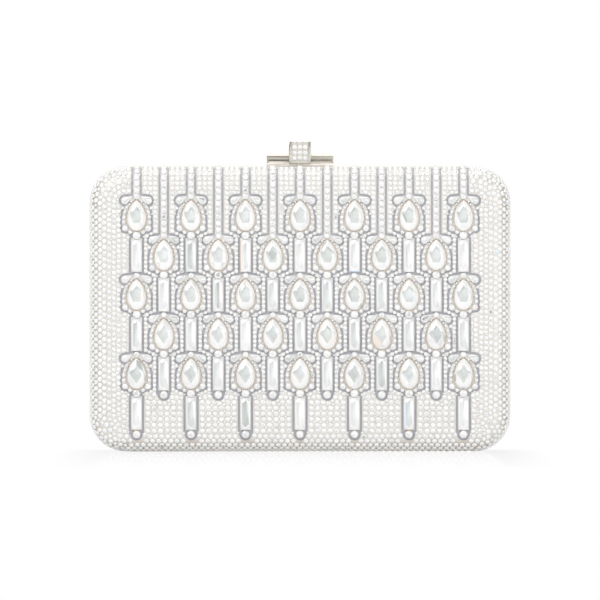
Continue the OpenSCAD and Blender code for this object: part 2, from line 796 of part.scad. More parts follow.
module stem_pin() {
    color("silver") on_top() translate([0, stem_y - stem_w / 2 + seat, stem_top - stem_w / 3])
        rotate([-90, 0, 0])
            cylinder(h = slider_size / 2 - slider_recess - stem_y + stem_w / 2 - 2 * seat,
                r = stem_pin_r);
}

module slider_stones() {
    color("white") on_top() slider_faces() for (i = [-1 : 1]) for (j = [-1 : 1])
        translate([i * slider_stone_pitch, j * slider_stone_pitch, -slider_recess])
            round_stone(slider_stone_r, slider_stone_h);
}

// The latch: a stem that hangs from the slider and a notched bar under the back rim
module latch_bolt() {
    color("silver") on_top() difference() {
        union() {
            translate([-stem_w / 2, stem_y - stem_d / 2, bolt_top - seat])
                cube([stem_w, stem_d, stem_top + seat - bolt_top]);
            translate([-bolt_w / 2, stem_y - bolt_d / 2, bolt_top - bolt_h])
                cube([bolt_w, bolt_d, bolt_h]);
        }
        for (side = [-1, 1])
            translate([
                side * slider_travel - notch_w / 2, stem_y - bolt_d, bolt_top - bolt_h - overrun
            ]) cube([notch_w, 2 * bolt_d, bolt_h - bolt_bridge + overrun]);
        translate([0, stem_y - bolt_d, stem_top - stem_w / 3]) rotate([-90, 0, 0])
            cylinder(h = 2 * bolt_d, r = pin_hole_r);
    }
}

module friction_spring() {
    half = friction_w / 2;
    low = bar_top + seat;
    high = bar_top + spring_space - seat;
    color("silver") on_top() translate([0, -stem_y + friction_d / 2, 0]) rotate([90, 0, 0])
        linear_extrude(friction_d) polygon([
            [-half, high - friction_t], [-half / 2, low], [half / 2, low], [half, high - friction_t],
            [half, high], [half / 2, low + friction_t], [-half / 2, low + friction_t], [-half, high]
        ]);
}

// The catch: a spring strip under the front rim that hooks up behind the latch bar
module catch_spring() {
    color("silver") on_top() difference() {
        translate([-catch_w / 2, 0, 0]) rotate([90, 0, 90]) linear_extrude(catch_w) polygon([
            [catch_front, -rim_w], [catch_front, -rim_w - catch_t],
            [catch_leg - catch_t, -rim_w - catch_t], [catch_leg - catch_t, catch_z - catch_t],
            [catch_back, catch_z - catch_t], [catch_back, bolt_top - bolt_h + nose_h - run],
            [catch_back - catch_t, bolt_top - bolt_h + nose_h - 2 * run],
            [catch_back - catch_t, catch_z], [catch_leg, catch_z], [catch_leg, -rim_w]
        ]);
        for (side = [-1, 1]) translate([side * catch_w / 4, catch_screw_y(), -rim_w - overrun])
            cylinder(h = 2 * overrun, r = catch_screw_r + fit);
    }
}
function catch_screw_y() = (catch_front + catch_leg - catch_t) / 2;

// Where the catch screws enter the front rim, in the half's own frame
module catch_screw_spots() {
    for (side = [-1, 1])
        translate([side * catch_w / 4, case_h - rim_w - seat, -catch_screw_y()]) children();
}

module catch_screws() {
    color("silver") as_front() catch_screw_spots() rotate([-90, 0, 0])
        translate([0, 0, seat - catch_t]) {
            cylinder(h = catch_screw_l + catch_t - 2 * seat, r = catch_screw_r);
            translate([0, 0, -catch_screw_head_h])
                cylinder(h = catch_screw_head_h, r = catch_screw_head_r);
        }
}

// The pocket is sewn to the back lining
module slip_pocket() {
    floor_z = face_z - shell_t - seat - lining_t;
    r = pocket_corner_r;
    color("lightgrey") as_back() translate([0, pocket_lift, floor_z - pocket_t])
        linear_extrude(pocket_t) {
            translate([-pocket_w / 2, r]) square([pocket_w, pocket_h - r]);
            translate([-pocket_w / 2 + r, 0]) square([pocket_w - 2 * r, pocket_h]);
            for (x = [-pocket_w / 2 + r, pocket_w / 2 - r]) translate([x, r]) circle(r);
        }
}

module back_shell() { color("tan") as_back() shell(); }
module back_rim() { color("silver") as_back() rim(true); }
module back_lining() { color("lightgrey") as_back() lining(); }
module back_pave_bed() { color("whitesmoke") as_back() pave_bed(false); }
module back_base_band() { color("silver") as_back() base_band(); }
module back_band_rivets() { color("silver") as_back() band_rivets(); }
module back_hinge_leaf() { color("silver") as_back() hinge_leaf(true); }
module back_hinge_rivets() { color("silver") as_back() hinge_rivets(); }
module front_shell() { color("darkgrey") as_front() shell(); }
module front_rim() { color("silver") as_front() rim(false); }
module front_lining() { color("lightgrey") as_front() lining(); }
module front_pave_bed() { color("whitesmoke") as_front() pave_bed(true); }
module front_base_band() { color("silver") as_front() base_band(); }
module front_band_rivets() { color("silver") as_front() band_rivets(); }
module front_hinge_leaf() { color("silver") as_front() hinge_leaf(false); }
module front_hinge_rivets() { color("silver") as_front() hinge_rivets(); }

back_shell();
back_rim();
back_lining();
slip_pocket();
back_pave_bed();
back_base_band();
back_band_rivets();
back_hinge_leaf();
back_hinge_rivets();
hinge_pin();
clasp_rail();
rail_pins();
front_shell();
front_rim();
front_lining();
front_pave_bed();
front_base_band();
front_band_rivets();
front_hinge_leaf();
front_hinge_rivets();
pear_stones();
pear_cups();
baguette_stones();
leaf_stones();
link_stones();
halo_stones();
strand_stones();
catch_spring();
catch_screws();
clasp_slider();
slider_stones();
latch_bolt();
friction_spring();
stem_pin();
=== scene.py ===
import json
import math

import bmesh
import bpy
import numpy as np
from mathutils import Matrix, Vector

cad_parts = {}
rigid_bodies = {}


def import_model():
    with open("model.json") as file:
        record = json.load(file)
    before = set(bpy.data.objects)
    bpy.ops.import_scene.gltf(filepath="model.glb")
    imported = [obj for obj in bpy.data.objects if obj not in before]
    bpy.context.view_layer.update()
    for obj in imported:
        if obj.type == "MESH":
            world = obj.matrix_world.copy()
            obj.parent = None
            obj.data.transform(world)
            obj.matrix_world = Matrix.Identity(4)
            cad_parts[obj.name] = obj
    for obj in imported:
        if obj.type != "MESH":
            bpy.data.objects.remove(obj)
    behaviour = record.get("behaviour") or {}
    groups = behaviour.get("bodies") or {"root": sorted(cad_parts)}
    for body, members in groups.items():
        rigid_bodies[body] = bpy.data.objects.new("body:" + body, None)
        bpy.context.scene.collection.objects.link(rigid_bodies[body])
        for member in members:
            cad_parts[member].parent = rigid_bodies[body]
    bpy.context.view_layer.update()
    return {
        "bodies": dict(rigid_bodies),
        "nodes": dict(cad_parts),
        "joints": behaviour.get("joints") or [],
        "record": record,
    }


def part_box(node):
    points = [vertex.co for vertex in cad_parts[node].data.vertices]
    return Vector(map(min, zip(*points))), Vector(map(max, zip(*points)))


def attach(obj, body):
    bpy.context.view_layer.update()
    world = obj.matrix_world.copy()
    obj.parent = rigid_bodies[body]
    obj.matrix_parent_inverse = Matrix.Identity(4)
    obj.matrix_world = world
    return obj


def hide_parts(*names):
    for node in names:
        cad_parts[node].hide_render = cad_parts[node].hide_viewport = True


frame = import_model()
nodes = frame["nodes"]
mm = 0.001
print("frame loaded:", len(nodes), "nodes")

# the case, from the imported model
rimLow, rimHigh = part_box("back_rim")
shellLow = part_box("front_shell")[0]
case = {
    "w": rimHigh.x - rimLow.x, "h": rimHigh.z, "partingY": rimLow.y, "cornerR": 16 * mm, "rimT": 4.5 * mm,
    "edgeR": 8 * mm,        # rounded edge over the small stones
    "stoneT": shellLow.z,   # what the small stones stand proud of the shell
    "faceZ": rimLow.y - shellLow.y,  # from the parting plane to the face of a shell
    "leastR": 0.5 * mm,     # of the corners of a row of stones
}
case["arcR"] = case["edgeR"] - case["stoneT"]
case["wallL"] = case["faceZ"] - case["arcR"] - case["rimT"]
case["arcL"] = case["arcR"] * math.pi / 2
case["sideL"] = case["wallL"] + case["arcL"]  # up the wall and round the edge
toward = {"front": -1, "back": 1}             # which way along y each half lies


# bpy.ops helpers

def onlySelect(*objects):
    if bpy.context.object and bpy.context.object.mode != "OBJECT":
        bpy.ops.object.mode_set(mode="OBJECT")
    bpy.ops.object.select_all(action="DESELECT")
    for thing in objects:
        thing.select_set(True)
    if objects:
        bpy.context.view_layer.objects.active = objects[0]


def onAll(thing, *steps, then=None):
    # edit mode operators with their settings, each run on the whole mesh, then one on a part of it
    onlySelect(thing)
    bpy.ops.object.mode_set(mode="EDIT")
    bpy.ops.mesh.select_mode(type="FACE" if thing.data.polygons else "VERT")
    for operator, settings in steps:
        bpy.ops.mesh.select_all(action="SELECT")
        operator(**settings)
    if then:
        then(thing)
    bpy.ops.object.mode_set(mode="OBJECT")


outward = (bpy.ops.mesh.normals_make_consistent, {"inside": False})


def applyAll(thing):
    onlySelect(thing)
    for modifier in list(thing.modifiers):
        bpy.ops.object.modifier_apply(modifier=modifier.name)


def settle(thing):
    # puts a piece's place into its mesh
    onlySelect(thing)
    bpy.ops.object.transform_apply(location=True, rotation=True, scale=True)


def smoothed(thing, degrees):
    onlySelect(thing)
    bpy.ops.object.shade_smooth_by_angle(angle=math.radians(degrees))
    return thing


def combine(thing, operation, other):
    # a boolean with another piece, which is used up
    cut = thing.modifiers.new("cut", "BOOLEAN")
    cut.operation, cut.solver, cut.object = operation, "EXACT", other
    applyAll(thing)
    bpy.data.objects.remove(other)


def linked(name, data):
    thing = bpy.data.objects.new(name, data)
    bpy.context.collection.objects.link(thing)
    return thing


def makeMesh(name, points, faces, *steps, then=None):
    mesh = bpy.data.meshes.new(name)
    mesh.from_pydata(points, [], faces)
    thing = linked(name, mesh)
    onAll(thing, *steps, outward, then=then)
    return thing


def numbered(count, length, first=0):
    # the numbers of points that stand in rows
    return [list(range(first + k * length, first + (k + 1) * length)) for k in range(count)]


def quads(rows, isRound=False):
    # faces between neighbouring rows of point numbers
    if isRound:
        rows = [[*row, row[0]] for row in rows]
    return [(a[i], a[i + 1], b[i + 1], b[i]) for a, b in zip(rows, rows[1:]) for i in range(len(a) - 1)]


def copyNode(name, node):
    # a merged copy of a CAD node's mesh
    onlySelect()
    piece = nodes[node].copy()
    piece.data = nodes[node].data.copy()
    piece.name = name
    piece.parent = None
    for key in list(piece.keys()):
        del piece[key]
    bpy.context.collection.objects.link(piece)
    onAll(piece, (bpy.ops.mesh.remove_doubles, {"threshold": 0.002 * mm}))
    return piece


# shader helpers

class Wire:
    # a shader socket that can be used in sums
    def __init__(self, finish, socket):
        self.finish = finish
        self.socket = socket

    def sum(self, operation, *terms, clamp=False):
        settings = {"operation": operation, "use_clamp": clamp}
        return self.finish.wire("ShaderNodeMath", settings, dict(enumerate(terms)))

    def __add__(self, other):
        return self.sum("ADD", self, other)

    def __sub__(self, other):
        return self.sum("SUBTRACT", self, other)

    def __rsub__(self, other):
        return self.sum("SUBTRACT", other, self)

    def __mul__(self, other):
        return self.sum("MULTIPLY", self, other)

    def __truediv__(self, other):
        return self.sum("DIVIDE", self, other)

    def clamped(self):
        return self.sum("ADD", self, 0.0, clamp=True)

    def size(self):
        return self.sum("ABSOLUTE", self)

    __radd__ = __add__
    __rmul__ = __mul__


class Finish:
    # a material or world, and the nodes that are put into it
    def __init__(self, name, isWorld=False):
        self.made = (bpy.data.worlds if isWorld else bpy.data.materials).new(name)
        self.made.use_nodes = True
        self.tree = self.made.node_tree
        self.tree.nodes.clear()
        self.output = self.tree.nodes.new("ShaderNodeOutputWorld" if isWorld else "ShaderNodeOutputMaterial")

    def node(self, kind, settings=None, inputs=None):
        made = self.tree.nodes.new(kind)
        for key, value in (settings or {}).items():
            setattr(made, key, value)
        for key, value in (inputs or {}).items():
            self.plug(made.inputs[key], value)
        return made

    def plug(self, socket, value):
        if isinstance(value, Wire):
            self.tree.links.new(value.socket, socket)
        elif isinstance(value, tuple) and len(value) == 3 and socket.type == "RGBA":
            socket.default_value = (*value, 1)
        else:
            socket.default_value = value

    def wire(self, kind, settings=None, inputs=None, output=0):
        return Wire(self, self.node(kind, settings, inputs).outputs[output])

    def place(self):
        return self.wire("ShaderNodeTexCoord", output="Object")

    def parts(self, vector):
        return [Wire(self, socket) for socket in self.node("ShaderNodeSeparateXYZ", None, {0: vector}).outputs]

    def noise(self, scale, detail=3.0, vector=None):
        inputs = {"Scale": scale, "Detail": detail, "Vector": vector or self.place()}
        return self.wire("ShaderNodeTexNoise", None, inputs)

    def ramp(self, value, stops):
        made = self.node("ShaderNodeValToRGB", None, {0: value})
        elements = made.color_ramp.elements
        while len(elements) > 1:
            elements.remove(elements[-1])
        for index, (place, colour) in enumerate(stops):
            stop = elements[0] if index == 0 else elements.new(place)
            stop.position, stop.color = place, (*colour, 1)
        return Wire(self, made.outputs[0])

    def mix(self, share, first, second):
        inputs = {0: share, 6: first, 7: second}
        return self.wire("ShaderNodeMix", {"data_type": "RGBA"}, inputs, output=2)

    def attribute(self, name):
        return self.wire("ShaderNodeAttribute", {"attribute_name": name}, output="Fac")

    def bump(self, height, strength, distance):
        inputs = {"Strength": strength, "Distance": distance, "Height": height}
        return self.wire("ShaderNodeBump", None, inputs)

    def rays(self, *kinds):
        # 1 for a ray of these kinds
        path = self.node("ShaderNodeLightPath")
        return sum(Wire(self, path.outputs["Is " + kind + " Ray"]) for kind in kinds)

    def show(self, shader):
        self.plug(self.output.inputs["Surface"], shader)
        return self.made

    def surface(self, inputs):
        return self.show(self.wire("ShaderNodeBsdfPrincipled", None, inputs))


# finishes

def crystalFinish(name, darkest, depth, haze):
    # cut crystal over foil: each facet's colour is its painted reflection, light or dark, and a few carry a
    # painted flash of colour
    look = Finish(name)
    warm, cold = (0.93, 0.72, 0.56), (0.42, 0.66, 0.92)
    paintedFacetLight, paintedFlash = look.attribute("paintedFacetLight"), look.attribute("paintedFlash")
    colour = look.ramp((paintedFacetLight + (look.noise(900, detail=2) - 0.5) * haze).clamped(), [
        (0.0, darkest), (0.3, (0.50 * depth, 0.535 * depth, 0.52 * depth)),
        (0.55, (0.72, 0.745, 0.73)), (0.78, (0.865, 0.87, 0.865)), (1.0, (0.95, 0.945, 0.935)),
    ])
    colour = look.mix(paintedFlash.clamped(), colour, warm)
    return look.surface({
        "Base Color": look.mix((paintedFlash * -1.0).clamped(), colour, cold),
        "Roughness": look.noise(300, detail=2) * 0.06 + 0.05,
        "Metallic": 0.12, "IOR": 1.72, "Coat Weight": 0.35, "Coat Roughness": 0.03,
    })


def satinFinish(name, dark, light, metallic, border=None):
    # a satin coat on metal: soft clouding and a fine tooth, with other tones along the sides and base
    look = Finish(name)
    cloud = look.noise(60, detail=4)
    colour = look.mix(cloud, dark, light)
    if border:
        x, y, z = look.parts(look.place())
        aside = x.size() - (case["w"] / 2 - border["w"])
        share = (aside.sum("MAXIMUM", aside, z * -1 + border["w"]) / border["fade"]).clamped()
        colour = look.mix(share, colour, look.mix(cloud, *border["tones"]))
    return look.surface({
        "Base Color": colour,
        "Roughness": look.noise(240) * 0.16 + 0.34,
        "Metallic": metallic,
        "Normal": look.bump(look.noise(2600), 0.12, 0.04 * mm),
    })


def platedFinish(name, light, dark, rough, metallic=1.0):
    # polished plate: slight clouding, hairline wipes and a little bump
    look = Finish(name)
    cloud = look.noise(90, detail=4)
    stretched = look.wire("ShaderNodeMapping", None, {"Vector": look.place(), "Scale": (300, 3000, 3000)})
    wipe = look.noise(1.0, vector=stretched)
    return look.surface({
        "Base Color": look.mix(cloud, dark, light),
        "Roughness": wipe * 0.10 + cloud * 0.06 + (rough - 0.06),
        "Metallic": metallic,
        "Normal": look.bump(wipe, 0.06, 0.03 * mm),
    })


def leatherFinish(name, light, dark, creased, grainScale):
    # fine grained kid leather with its creases a little darker
    look = Finish(name)
    pebble = look.wire("ShaderNodeTexVoronoi", {"feature": "DISTANCE_TO_EDGE"}, {
        "Vector": look.place(), "Scale": grainScale})
    crease = (pebble * 6.0).clamped()
    colour = look.mix(look.noise(45, detail=5), dark, light)
    return look.surface({
        "Base Color": look.mix(crease * 0.25 + 0.75, creased, colour),
        "Roughness": 0.62 - crease * 0.12,
        "Sheen Weight": 0.25,
        "Normal": look.bump(crease + look.noise(2200) * 0.3, 0.45, 0.12 * mm),
    })


bedBorder = {"w": 5.5 * mm, "fade": 3 * mm, "tones": ((0.44, 0.37, 0.30), (0.60, 0.53, 0.455))}
# each finish, and the slot of the pieces that wear it
finishes = {
    "crystal": (crystalFinish("cutCrystal", (0.20, 0.225, 0.22), 1.0, 0.10), "crystal"),
    "smallCrystal": (crystalFinish("smallCutCrystal", (0.30, 0.32, 0.31), 1.12, 0.06), "small_crystal"),
    "lacquer": (satinFinish("greyLacquer", (0.395, 0.40, 0.435), (0.47, 0.47, 0.505), 0.1), "shell_enamel"),
    "bed": (satinFinish("fieldSetting", (0.66, 0.63, 0.585), (0.80, 0.775, 0.735), 0.25, bedBorder),
            "small_crystal"),
    "tray": (satinFinish("paleSetting", (0.76, 0.73, 0.69), (0.88, 0.86, 0.83), 0.2), "cup_metal"),
    "rim": (platedFinish("champagnePlate", (0.86, 0.83, 0.77), (0.76, 0.72, 0.65), 0.30), "rim_metal"),
    "clasp": (platedFinish("claspPlate", (0.56, 0.535, 0.485), (0.48, 0.46, 0.415), 0.18), "clasp_metal"),
    # painted shade: the rail's bar in the clasp metal, made darker
    "paintedShadeBar": (platedFinish("paintedShadeBarPlate", (0.46, 0.435, 0.385), (0.38, 0.355, 0.31), 0.26), "clasp_metal"),
    # painted reflection: the rail's foot in the clasp metal, made lighter as if mirroring the pale floor
    "paintedLightFoot": (platedFinish("paintedLightFootPlate", (0.84, 0.79, 0.72), (0.72, 0.66, 0.59), 0.30, metallic=0.7),
                  "clasp_metal"),
    "thread": (satinFinish("liningThread", (0.50, 0.49, 0.47), (0.62, 0.61, 0.59), 0.0), "lining_leather"),
    "cup": (platedFinish("settingPlate", (0.66, 0.57, 0.47), (0.52, 0.44, 0.36), 0.30), "cup_metal"),
    "spring": (platedFinish("springSteel", (0.66, 0.66, 0.66), (0.52, 0.52, 0.53), 0.26), "spring_steel"),
    "leather": (leatherFinish("silverLeather", (0.60, 0.58, 0.56), (0.50, 0.485, 0.47), (0.33, 0.32, 0.31),
                              900), "lining_leather"),
}
print("finishes made:", len(finishes))


def fitOut(thing, body, finish, *stoodFor):
    look, slot = finishes[finish]
    thing.data.materials.clear()
    thing.data.materials.append(look)
    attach(thing, body)
    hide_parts(*stoodFor)
    return thing


# cut stones: each is the hull of its girdle, the corners of its crown and its table

def hullStone(name, rings, cuts=()):
    def splitTable(stone):
        # cuts the table into strips along the stone
        for offset in cuts:
            bpy.ops.mesh.select_mode(type="FACE")
            bpy.ops.mesh.select_all(action="DESELECT")
            cage = bmesh.from_edit_mesh(stone.data)
            for face in cage.faces:
                if face.normal.z > 0.999:
                    face.select_set(True)
            bmesh.update_edit_mesh(stone.data)
            bpy.ops.mesh.bisect(plane_co=(offset, 0, 0), plane_no=(1, 0, 0))

    return makeMesh(name, [point for ring in rings for point in ring], [],
                    (bpy.ops.mesh.convex_hull, {"join_triangles": False}),
                    (bpy.ops.mesh.dissolve_limited, {"angle_limit": math.radians(1.5)}), then=splitTable)


def raised(outline, height):
    return [(x, y, height) for x, y in outline]


def circlePoints(count, radius, turn=0.0):
    turns = [turn + 2 * math.pi * i / count for i in range(count)]
    return [(radius * math.cos(a), radius * math.sin(a)) for a in turns]


def roundStone(name, sides, crownShare, tableShare, girdle, breakHeight):
    # of radius 1 and height 1
    half = math.pi / sides
    rings = [raised(circlePoints(sides, 1), height) for height in (0, girdle)]
    if crownShare:
        rings.append(raised(circlePoints(sides // 2, crownShare, half), breakHeight))
        rings.append(raised(circlePoints(sides // 2, tableShare, 3 * half), 1))
    else:
        rings.append(raised(circlePoints(sides, tableShare, half), 1))
    return hullStone(name, rings)


pear = {
    "l": 13.6 * mm, "w": 8.4 * mm, "h": 3.2 * mm, "wideShare": 0.6, "steps": 4,
    "girdleShare": 0.44, "breakShare": 0.68, "ledgeShare": 0.93, "tipBreak": (0.045, 0.58),
    # corners of one side: share of half the width, share of the length
    "breakShares": [(0.87, 0.47), (0.78, 0.74), (0.36, 0.93)],
    "tableShares": [(0, 0.33), (0.46, 0.45), (0.20, 0.64)],
    "ledgeShares": [(0, 0.20), (0.75, 0.42), (0.34, 0.735)],
    # the two lower rows end in a point
    "lowTableShares": [(0, 0.30), (0.46, 0.49), (0, 0.70)],
    "lowLedgeShares": [(0, 0.22), (0.76, 0.47), (0.05, 0.80)],
}
leaf = {
    "l": 5.9 * mm, "w": 3.5 * mm, "h": 1.9 * mm, "girdleShare": 0.45, "tableShare": 0.62,
    "lean": math.radians(60), "steps": 8, "cuts": [0.12 * mm],
}
leaf["reach"] = leaf["l"] - leaf["w"] / 2  # from the tip to the middle of the round end
baguette = {
    "l": 14.3 * mm, "w": 4.8 * mm, "h": 2.4 * mm, "girdleShare": 0.4, "stepShare": 0.78,
    "stepInset": 0.5 * mm, "tableW": 2.9 * mm, "tableInset": 2.6 * mm, "tipInset": 1.3 * mm,
    "cornerCut": 0.2 * mm, "cuts": [-0.62 * mm, 0.45 * mm],
}


def pearOutline():
    # the flanks are arcs through the tip, and the end is half an ellipse
    wide, half, steps = pear["l"] * pear["wideShare"], pear["w"] / 2, pear["steps"]
    flankR = (half ** 2 + wide ** 2) / pear["w"]
    swing = math.asin(wide / flankR)
    turns = [swing * (1 - i / steps) for i in range(steps)]
    side = [(half - flankR + flankR * math.cos(a), -wide + flankR * math.sin(a)) for a in turns]
    turns = [math.pi / 2 * i / steps for i in range(steps + 1)]
    side += [(half * math.cos(a), -wide - (pear["l"] - wide) * math.sin(a)) for a in turns]
    return side + [(-x, y) for x, y in side[-2:0:-1]]


def pearStone(name, table, ledge):
    def corners(shares, height):
        return [(s * x * pear["w"] / 2, -y * pear["l"], height)
                for x, y in shares for s in (-1, 1) if x or s > 0]

    outline, h = pearOutline(), pear["h"]
    tipY, tipShare = pear["tipBreak"]
    return hullStone(name, [
        raised(outline, 0), raised(outline, h * pear["girdleShare"]),
        corners(pear["breakShares"], h * pear["breakShare"]),
        corners(ledge, h * pear["ledgeShare"]), corners(table, h),
        [(0, -tipY * pear["l"], h * tipShare)],
    ])


def leafStone():
    r, middle = leaf["w"] / 2, leaf["reach"]
    lean = math.acos(r / middle)      # where the straight flanks meet the round end
    outline = [(0, 0)]
    for i in range(leaf["steps"] + 1):
        a = math.pi / 2 - lean - (math.pi + 2 * (math.pi / 2 - lean)) * i / leaf["steps"]
        outline.append((r * math.cos(a), -middle + r * math.sin(a)))
    table = [(x * leaf["tableShare"], -middle + (y + middle) * leaf["tableShare"]) for x, y in outline]
    rings = [raised(outline, 0), raised(outline, leaf["h"] * leaf["girdleShare"]), raised(table, leaf["h"])]
    return hullStone("leafGem", rings, leaf["cuts"])


def boxRing(w, l, height, cut=0.0):
    # with a cut, each corner is two points
    x, y = w / 2, l / 2
    return [(s * (x - cut * (1 - i)), t * (y - cut * i), height)
            for s in (-1, 1) for t in (-1, 1) for i in ((0, 1) if cut else (0,))]


def baguetteStone():
    w, l, h, cut = (baguette[key] for key in ("w", "l", "h", "cornerCut"))
    step = baguette["stepInset"]
    return hullStone("baguetteGem", [
        boxRing(w, l, 0, cut), boxRing(w, l, h * baguette["girdleShare"], cut),
        boxRing(w - 2 * step, l - 2 * step, h * baguette["stepShare"]),
        boxRing(baguette["tableW"], l - 2 * baguette["tableInset"], h),
        [(0, s * (l / 2 - baguette["tipInset"]), h) for s in (-1, 1)],
    ], baguette["cuts"])


gems = {
    "small": roundStone("smallGem", 8, 0, 0.56, 0.58, 0),
    "round": roundStone("roundGem", 16, 0.82, 0.52, 0.5, 0.78),
    "pear": pearStone("pearGem", pear["tableShares"], pear["ledgeShares"]),
    "lowPear": pearStone("lowPearGem", pear["lowTableShares"], pear["lowLedgeShares"]),
    "leaf": leafStone(),
    "baguette": baguetteStone(),
}
for gem in gems.values():
    gem.hide_render = True
print("stones cut:", {name: len(gem.data.polygons) for name, gem in gems.items()})


# where the stones stand, in a half's own frame: across, up, and out from the parting plane

drop = {
    "pitch": 24 * mm, "count": 7, "rows": 5, "rowPitch": 17.4 * mm, "first": 15.1 * mm, "pointedRow": 3,
    "strandR": 1.38 * mm, "linkR": 1.8 * mm, "endR": 1.75 * mm, "haloR": 0.95 * mm, "haloBigR": 1.4 * mm,
    "gap": 0.1 * mm, "roundH": 1.5 * mm, "tallH": 1.9 * mm,
    # one side of a halo: shares of the pear's width and length, and of the halo stone's radius
    "haloShares": [(0.263, 0.058, 0.6), (0.37, 0.139, 0.64), (0.488, 0.246, 0.72), (0.603, 0.388, 0.9),
                   (0.658, 0.556, 1), (0.67, 0.72, 1), (0.335, 1.036, 1)],
    "haloBigShare": (0.6, 0.912), "haloTurn": 0.3, "haloBigTurn": 0.2,
}
drop["linkY"] = pear["l"] + drop["gap"] + drop["linkR"]
drop["baguetteY"] = drop["linkY"] + drop["linkR"] + drop["gap"]
drop["endY"] = drop["baguetteY"] + baguette["l"] + drop["gap"] + drop["endR"]
drop["knotY"] = -drop["strandR"] - drop["gap"]
drop["leafTip"] = (drop["strandR"] + drop["gap"], drop["strandR"] + 5 * drop["gap"])
drop["strandPitch"] = 2 * drop["strandR"] + drop["gap"]

drops = []  # across, height of the tip, row
for row in range(drop["rows"]):
    count = drop["count"] - row % 2
    for k in range(count):
        drops.append(((k - (count - 1) / 2) * drop["pitch"],
                      case["h"] - drop["first"] - row * drop["rowPitch"], row))


def isLast(row):
    return row >= drop["rows"] - 2


def haloStones():
    # one halo, from its drop's tip: across, up, radius, height, turn
    bigX, bigY = drop["haloBigShare"]
    found = []
    for s in (-1, 1):
        for x, y, share in drop["haloShares"]:
            found.append((s * x * pear["w"], -y * pear["l"], drop["haloR"] * share, drop["roundH"],
                          drop["haloTurn"] * s))
        found.append((s * bigX * pear["w"], -bigY * pear["l"], drop["haloBigR"], drop["tallH"],
                      drop["haloBigTurn"] * s))
    return found


halo = haloStones()


def edgeProfile(v):
    # v runs up the side wall from the rim, round the edge and in over the face:
    # gives how far in from the case's outline, how far out from the parting plane, and the tilt
    if v <= case["wallL"]:
        return case["stoneT"], case["rimT"] + v, 0.0
    a = (v - case["wallL"]) / case["arcR"]
    if a < math.pi / 2:
        return (case["edgeR"] - case["arcR"] * math.cos(a),
                case["faceZ"] - case["arcR"] + case["arcR"] * math.sin(a), a)
    return case["edgeR"] + v - case["wallL"] - case["arcL"], case["faceZ"], math.pi / 2


def topSpot(x, v):
    inset, depth, tilt = edgeProfile(v)
    return (x, case["h"] - inset, depth), (0, math.cos(tilt), math.sin(tilt))


def onFace(height):
    # how far along v this height on the face is, from the top
    return case["sideL"] + case["h"] - case["edgeR"] - height


def corners(x, y):
    # middles of the four corners, and where their quarter turn starts
    return (x, y, 0), (-x, y, 90), (-x, -y, 180), (x, -y, 270)


def walkOutline(inset, step):
    # points along the case's outline moved inwards, each with the way out
    r = max(case["cornerR"] - inset, case["leastR"])
    halfW = case["w"] / 2 - inset - r
    halfH = case["h"] / 2 - inset - r
    walked = []
    for cx, cy, start in corners(halfW, halfH):
        turns = max(2, int(r * math.pi / 2 / step))
        for i in range(turns):
            a = math.radians(start + 90 * i / turns)
            walked.append((cx + r * math.cos(a), cy + r * math.sin(a), math.cos(a), math.sin(a)))
        a = math.radians(start + 90)
        ox, oy = round(math.cos(a)), round(math.sin(a))
        length = 2 * halfW if start in (0, 180) else 2 * halfH
        steps = int(length / step)
        for i in range(steps):
            far = length * i / steps
            walked.append((cx + r * ox - oy * far, cy + r * oy + ox * far, ox, oy))
    return [(x, y + case["h"] / 2, ox, oy) for x, y, ox, oy in walked]


def edgeWalk(v, step):
    # places round the case at one v, each with the way out
    inset, depth, tilt = edgeProfile(v)
    for x, y, ox, oy in walkOutline(inset, step):
        yield (x, y, depth), (ox * math.cos(tilt), oy * math.cos(tilt), math.sin(tilt))


# the field of small stones
field = {
    "gap": 0.02 * mm, "h": 1.05 * mm, "lowH": 0.85, "lowR": 0.7 * mm,
    # rows round the case: start, rise, count, radius and pitch of their stones
    "edge": (1.2 * mm, 1.967 * mm, 8, 1.17 * mm, 2.64 * mm),
    "face": (2.12 * mm, 3, 1.04 * mm, 2.18 * mm),
    "ringStep": 0.09 * mm, "patchStep": 0.25 * mm, "patchReach": 3 * mm,
    # three rows of stones over the top edge between two strands
    "stripR": 1.03 * mm, "stripPitch": 2.1 * mm, "stripStep": 2.28 * mm, "stripLow": 13.6 * mm,
    "stripLift": 0.25 * mm,
    # between two drops
    "flankR": 0.94 * mm, "flankX": 4.05 * mm, "flankY": 17.6 * mm, "flankPitch": 1.96 * mm, "flankCount": 8,
    "ties": [(6.35 * mm, 14.75 * mm, 0.82 * mm), (4.6 * mm, 15.75 * mm, 0.9 * mm)],
    "gridR": 1.2 * mm, "gridX": 2.82 * mm, "gridY": 2.5 * mm, "gridLow": 9.3 * mm, "gridTop": 24 * mm,
    "gridCount": 6,
    # the rest is filled: radii, how close to the last stone, how far over the edge, and what is on the face
    "fillR": [r * mm for r in (1.12, 1.0, 0.9, 0.8, 0.7, 0.6, 0.5)], "fillSnug": 0.12 * mm,
    "fillOver": 1.0 * mm, "fillDepth": 0.6 * mm,
    # honeycomb of the back
    "backInset": 5 * mm, "backGap": 0.12 * mm, "backRise": 0.92, "backRings": 2,
    # bare grey left round each kind of large stone
    "bareHalo": 0.5 * mm, "bareLeaf": 0.9 * mm, "bareBaguette": 0.88 * mm, "bareStrand": 1.0 * mm,
    "bareLink": 0.55 * mm, "bareEnd": 0.85 * mm, "barePear": 1.6 * mm,
    "tipR": 0.3 * mm,       # of the tip of a leaf or pear
    "past": 10 * mm,        # how far past the top the strands keep their channel
}
bandLow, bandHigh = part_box("front_base_band")
band = {"half": bandHigh.x + 0.1 * mm, "depth": case["partingY"] - bandLow.y + 0.1 * mm}


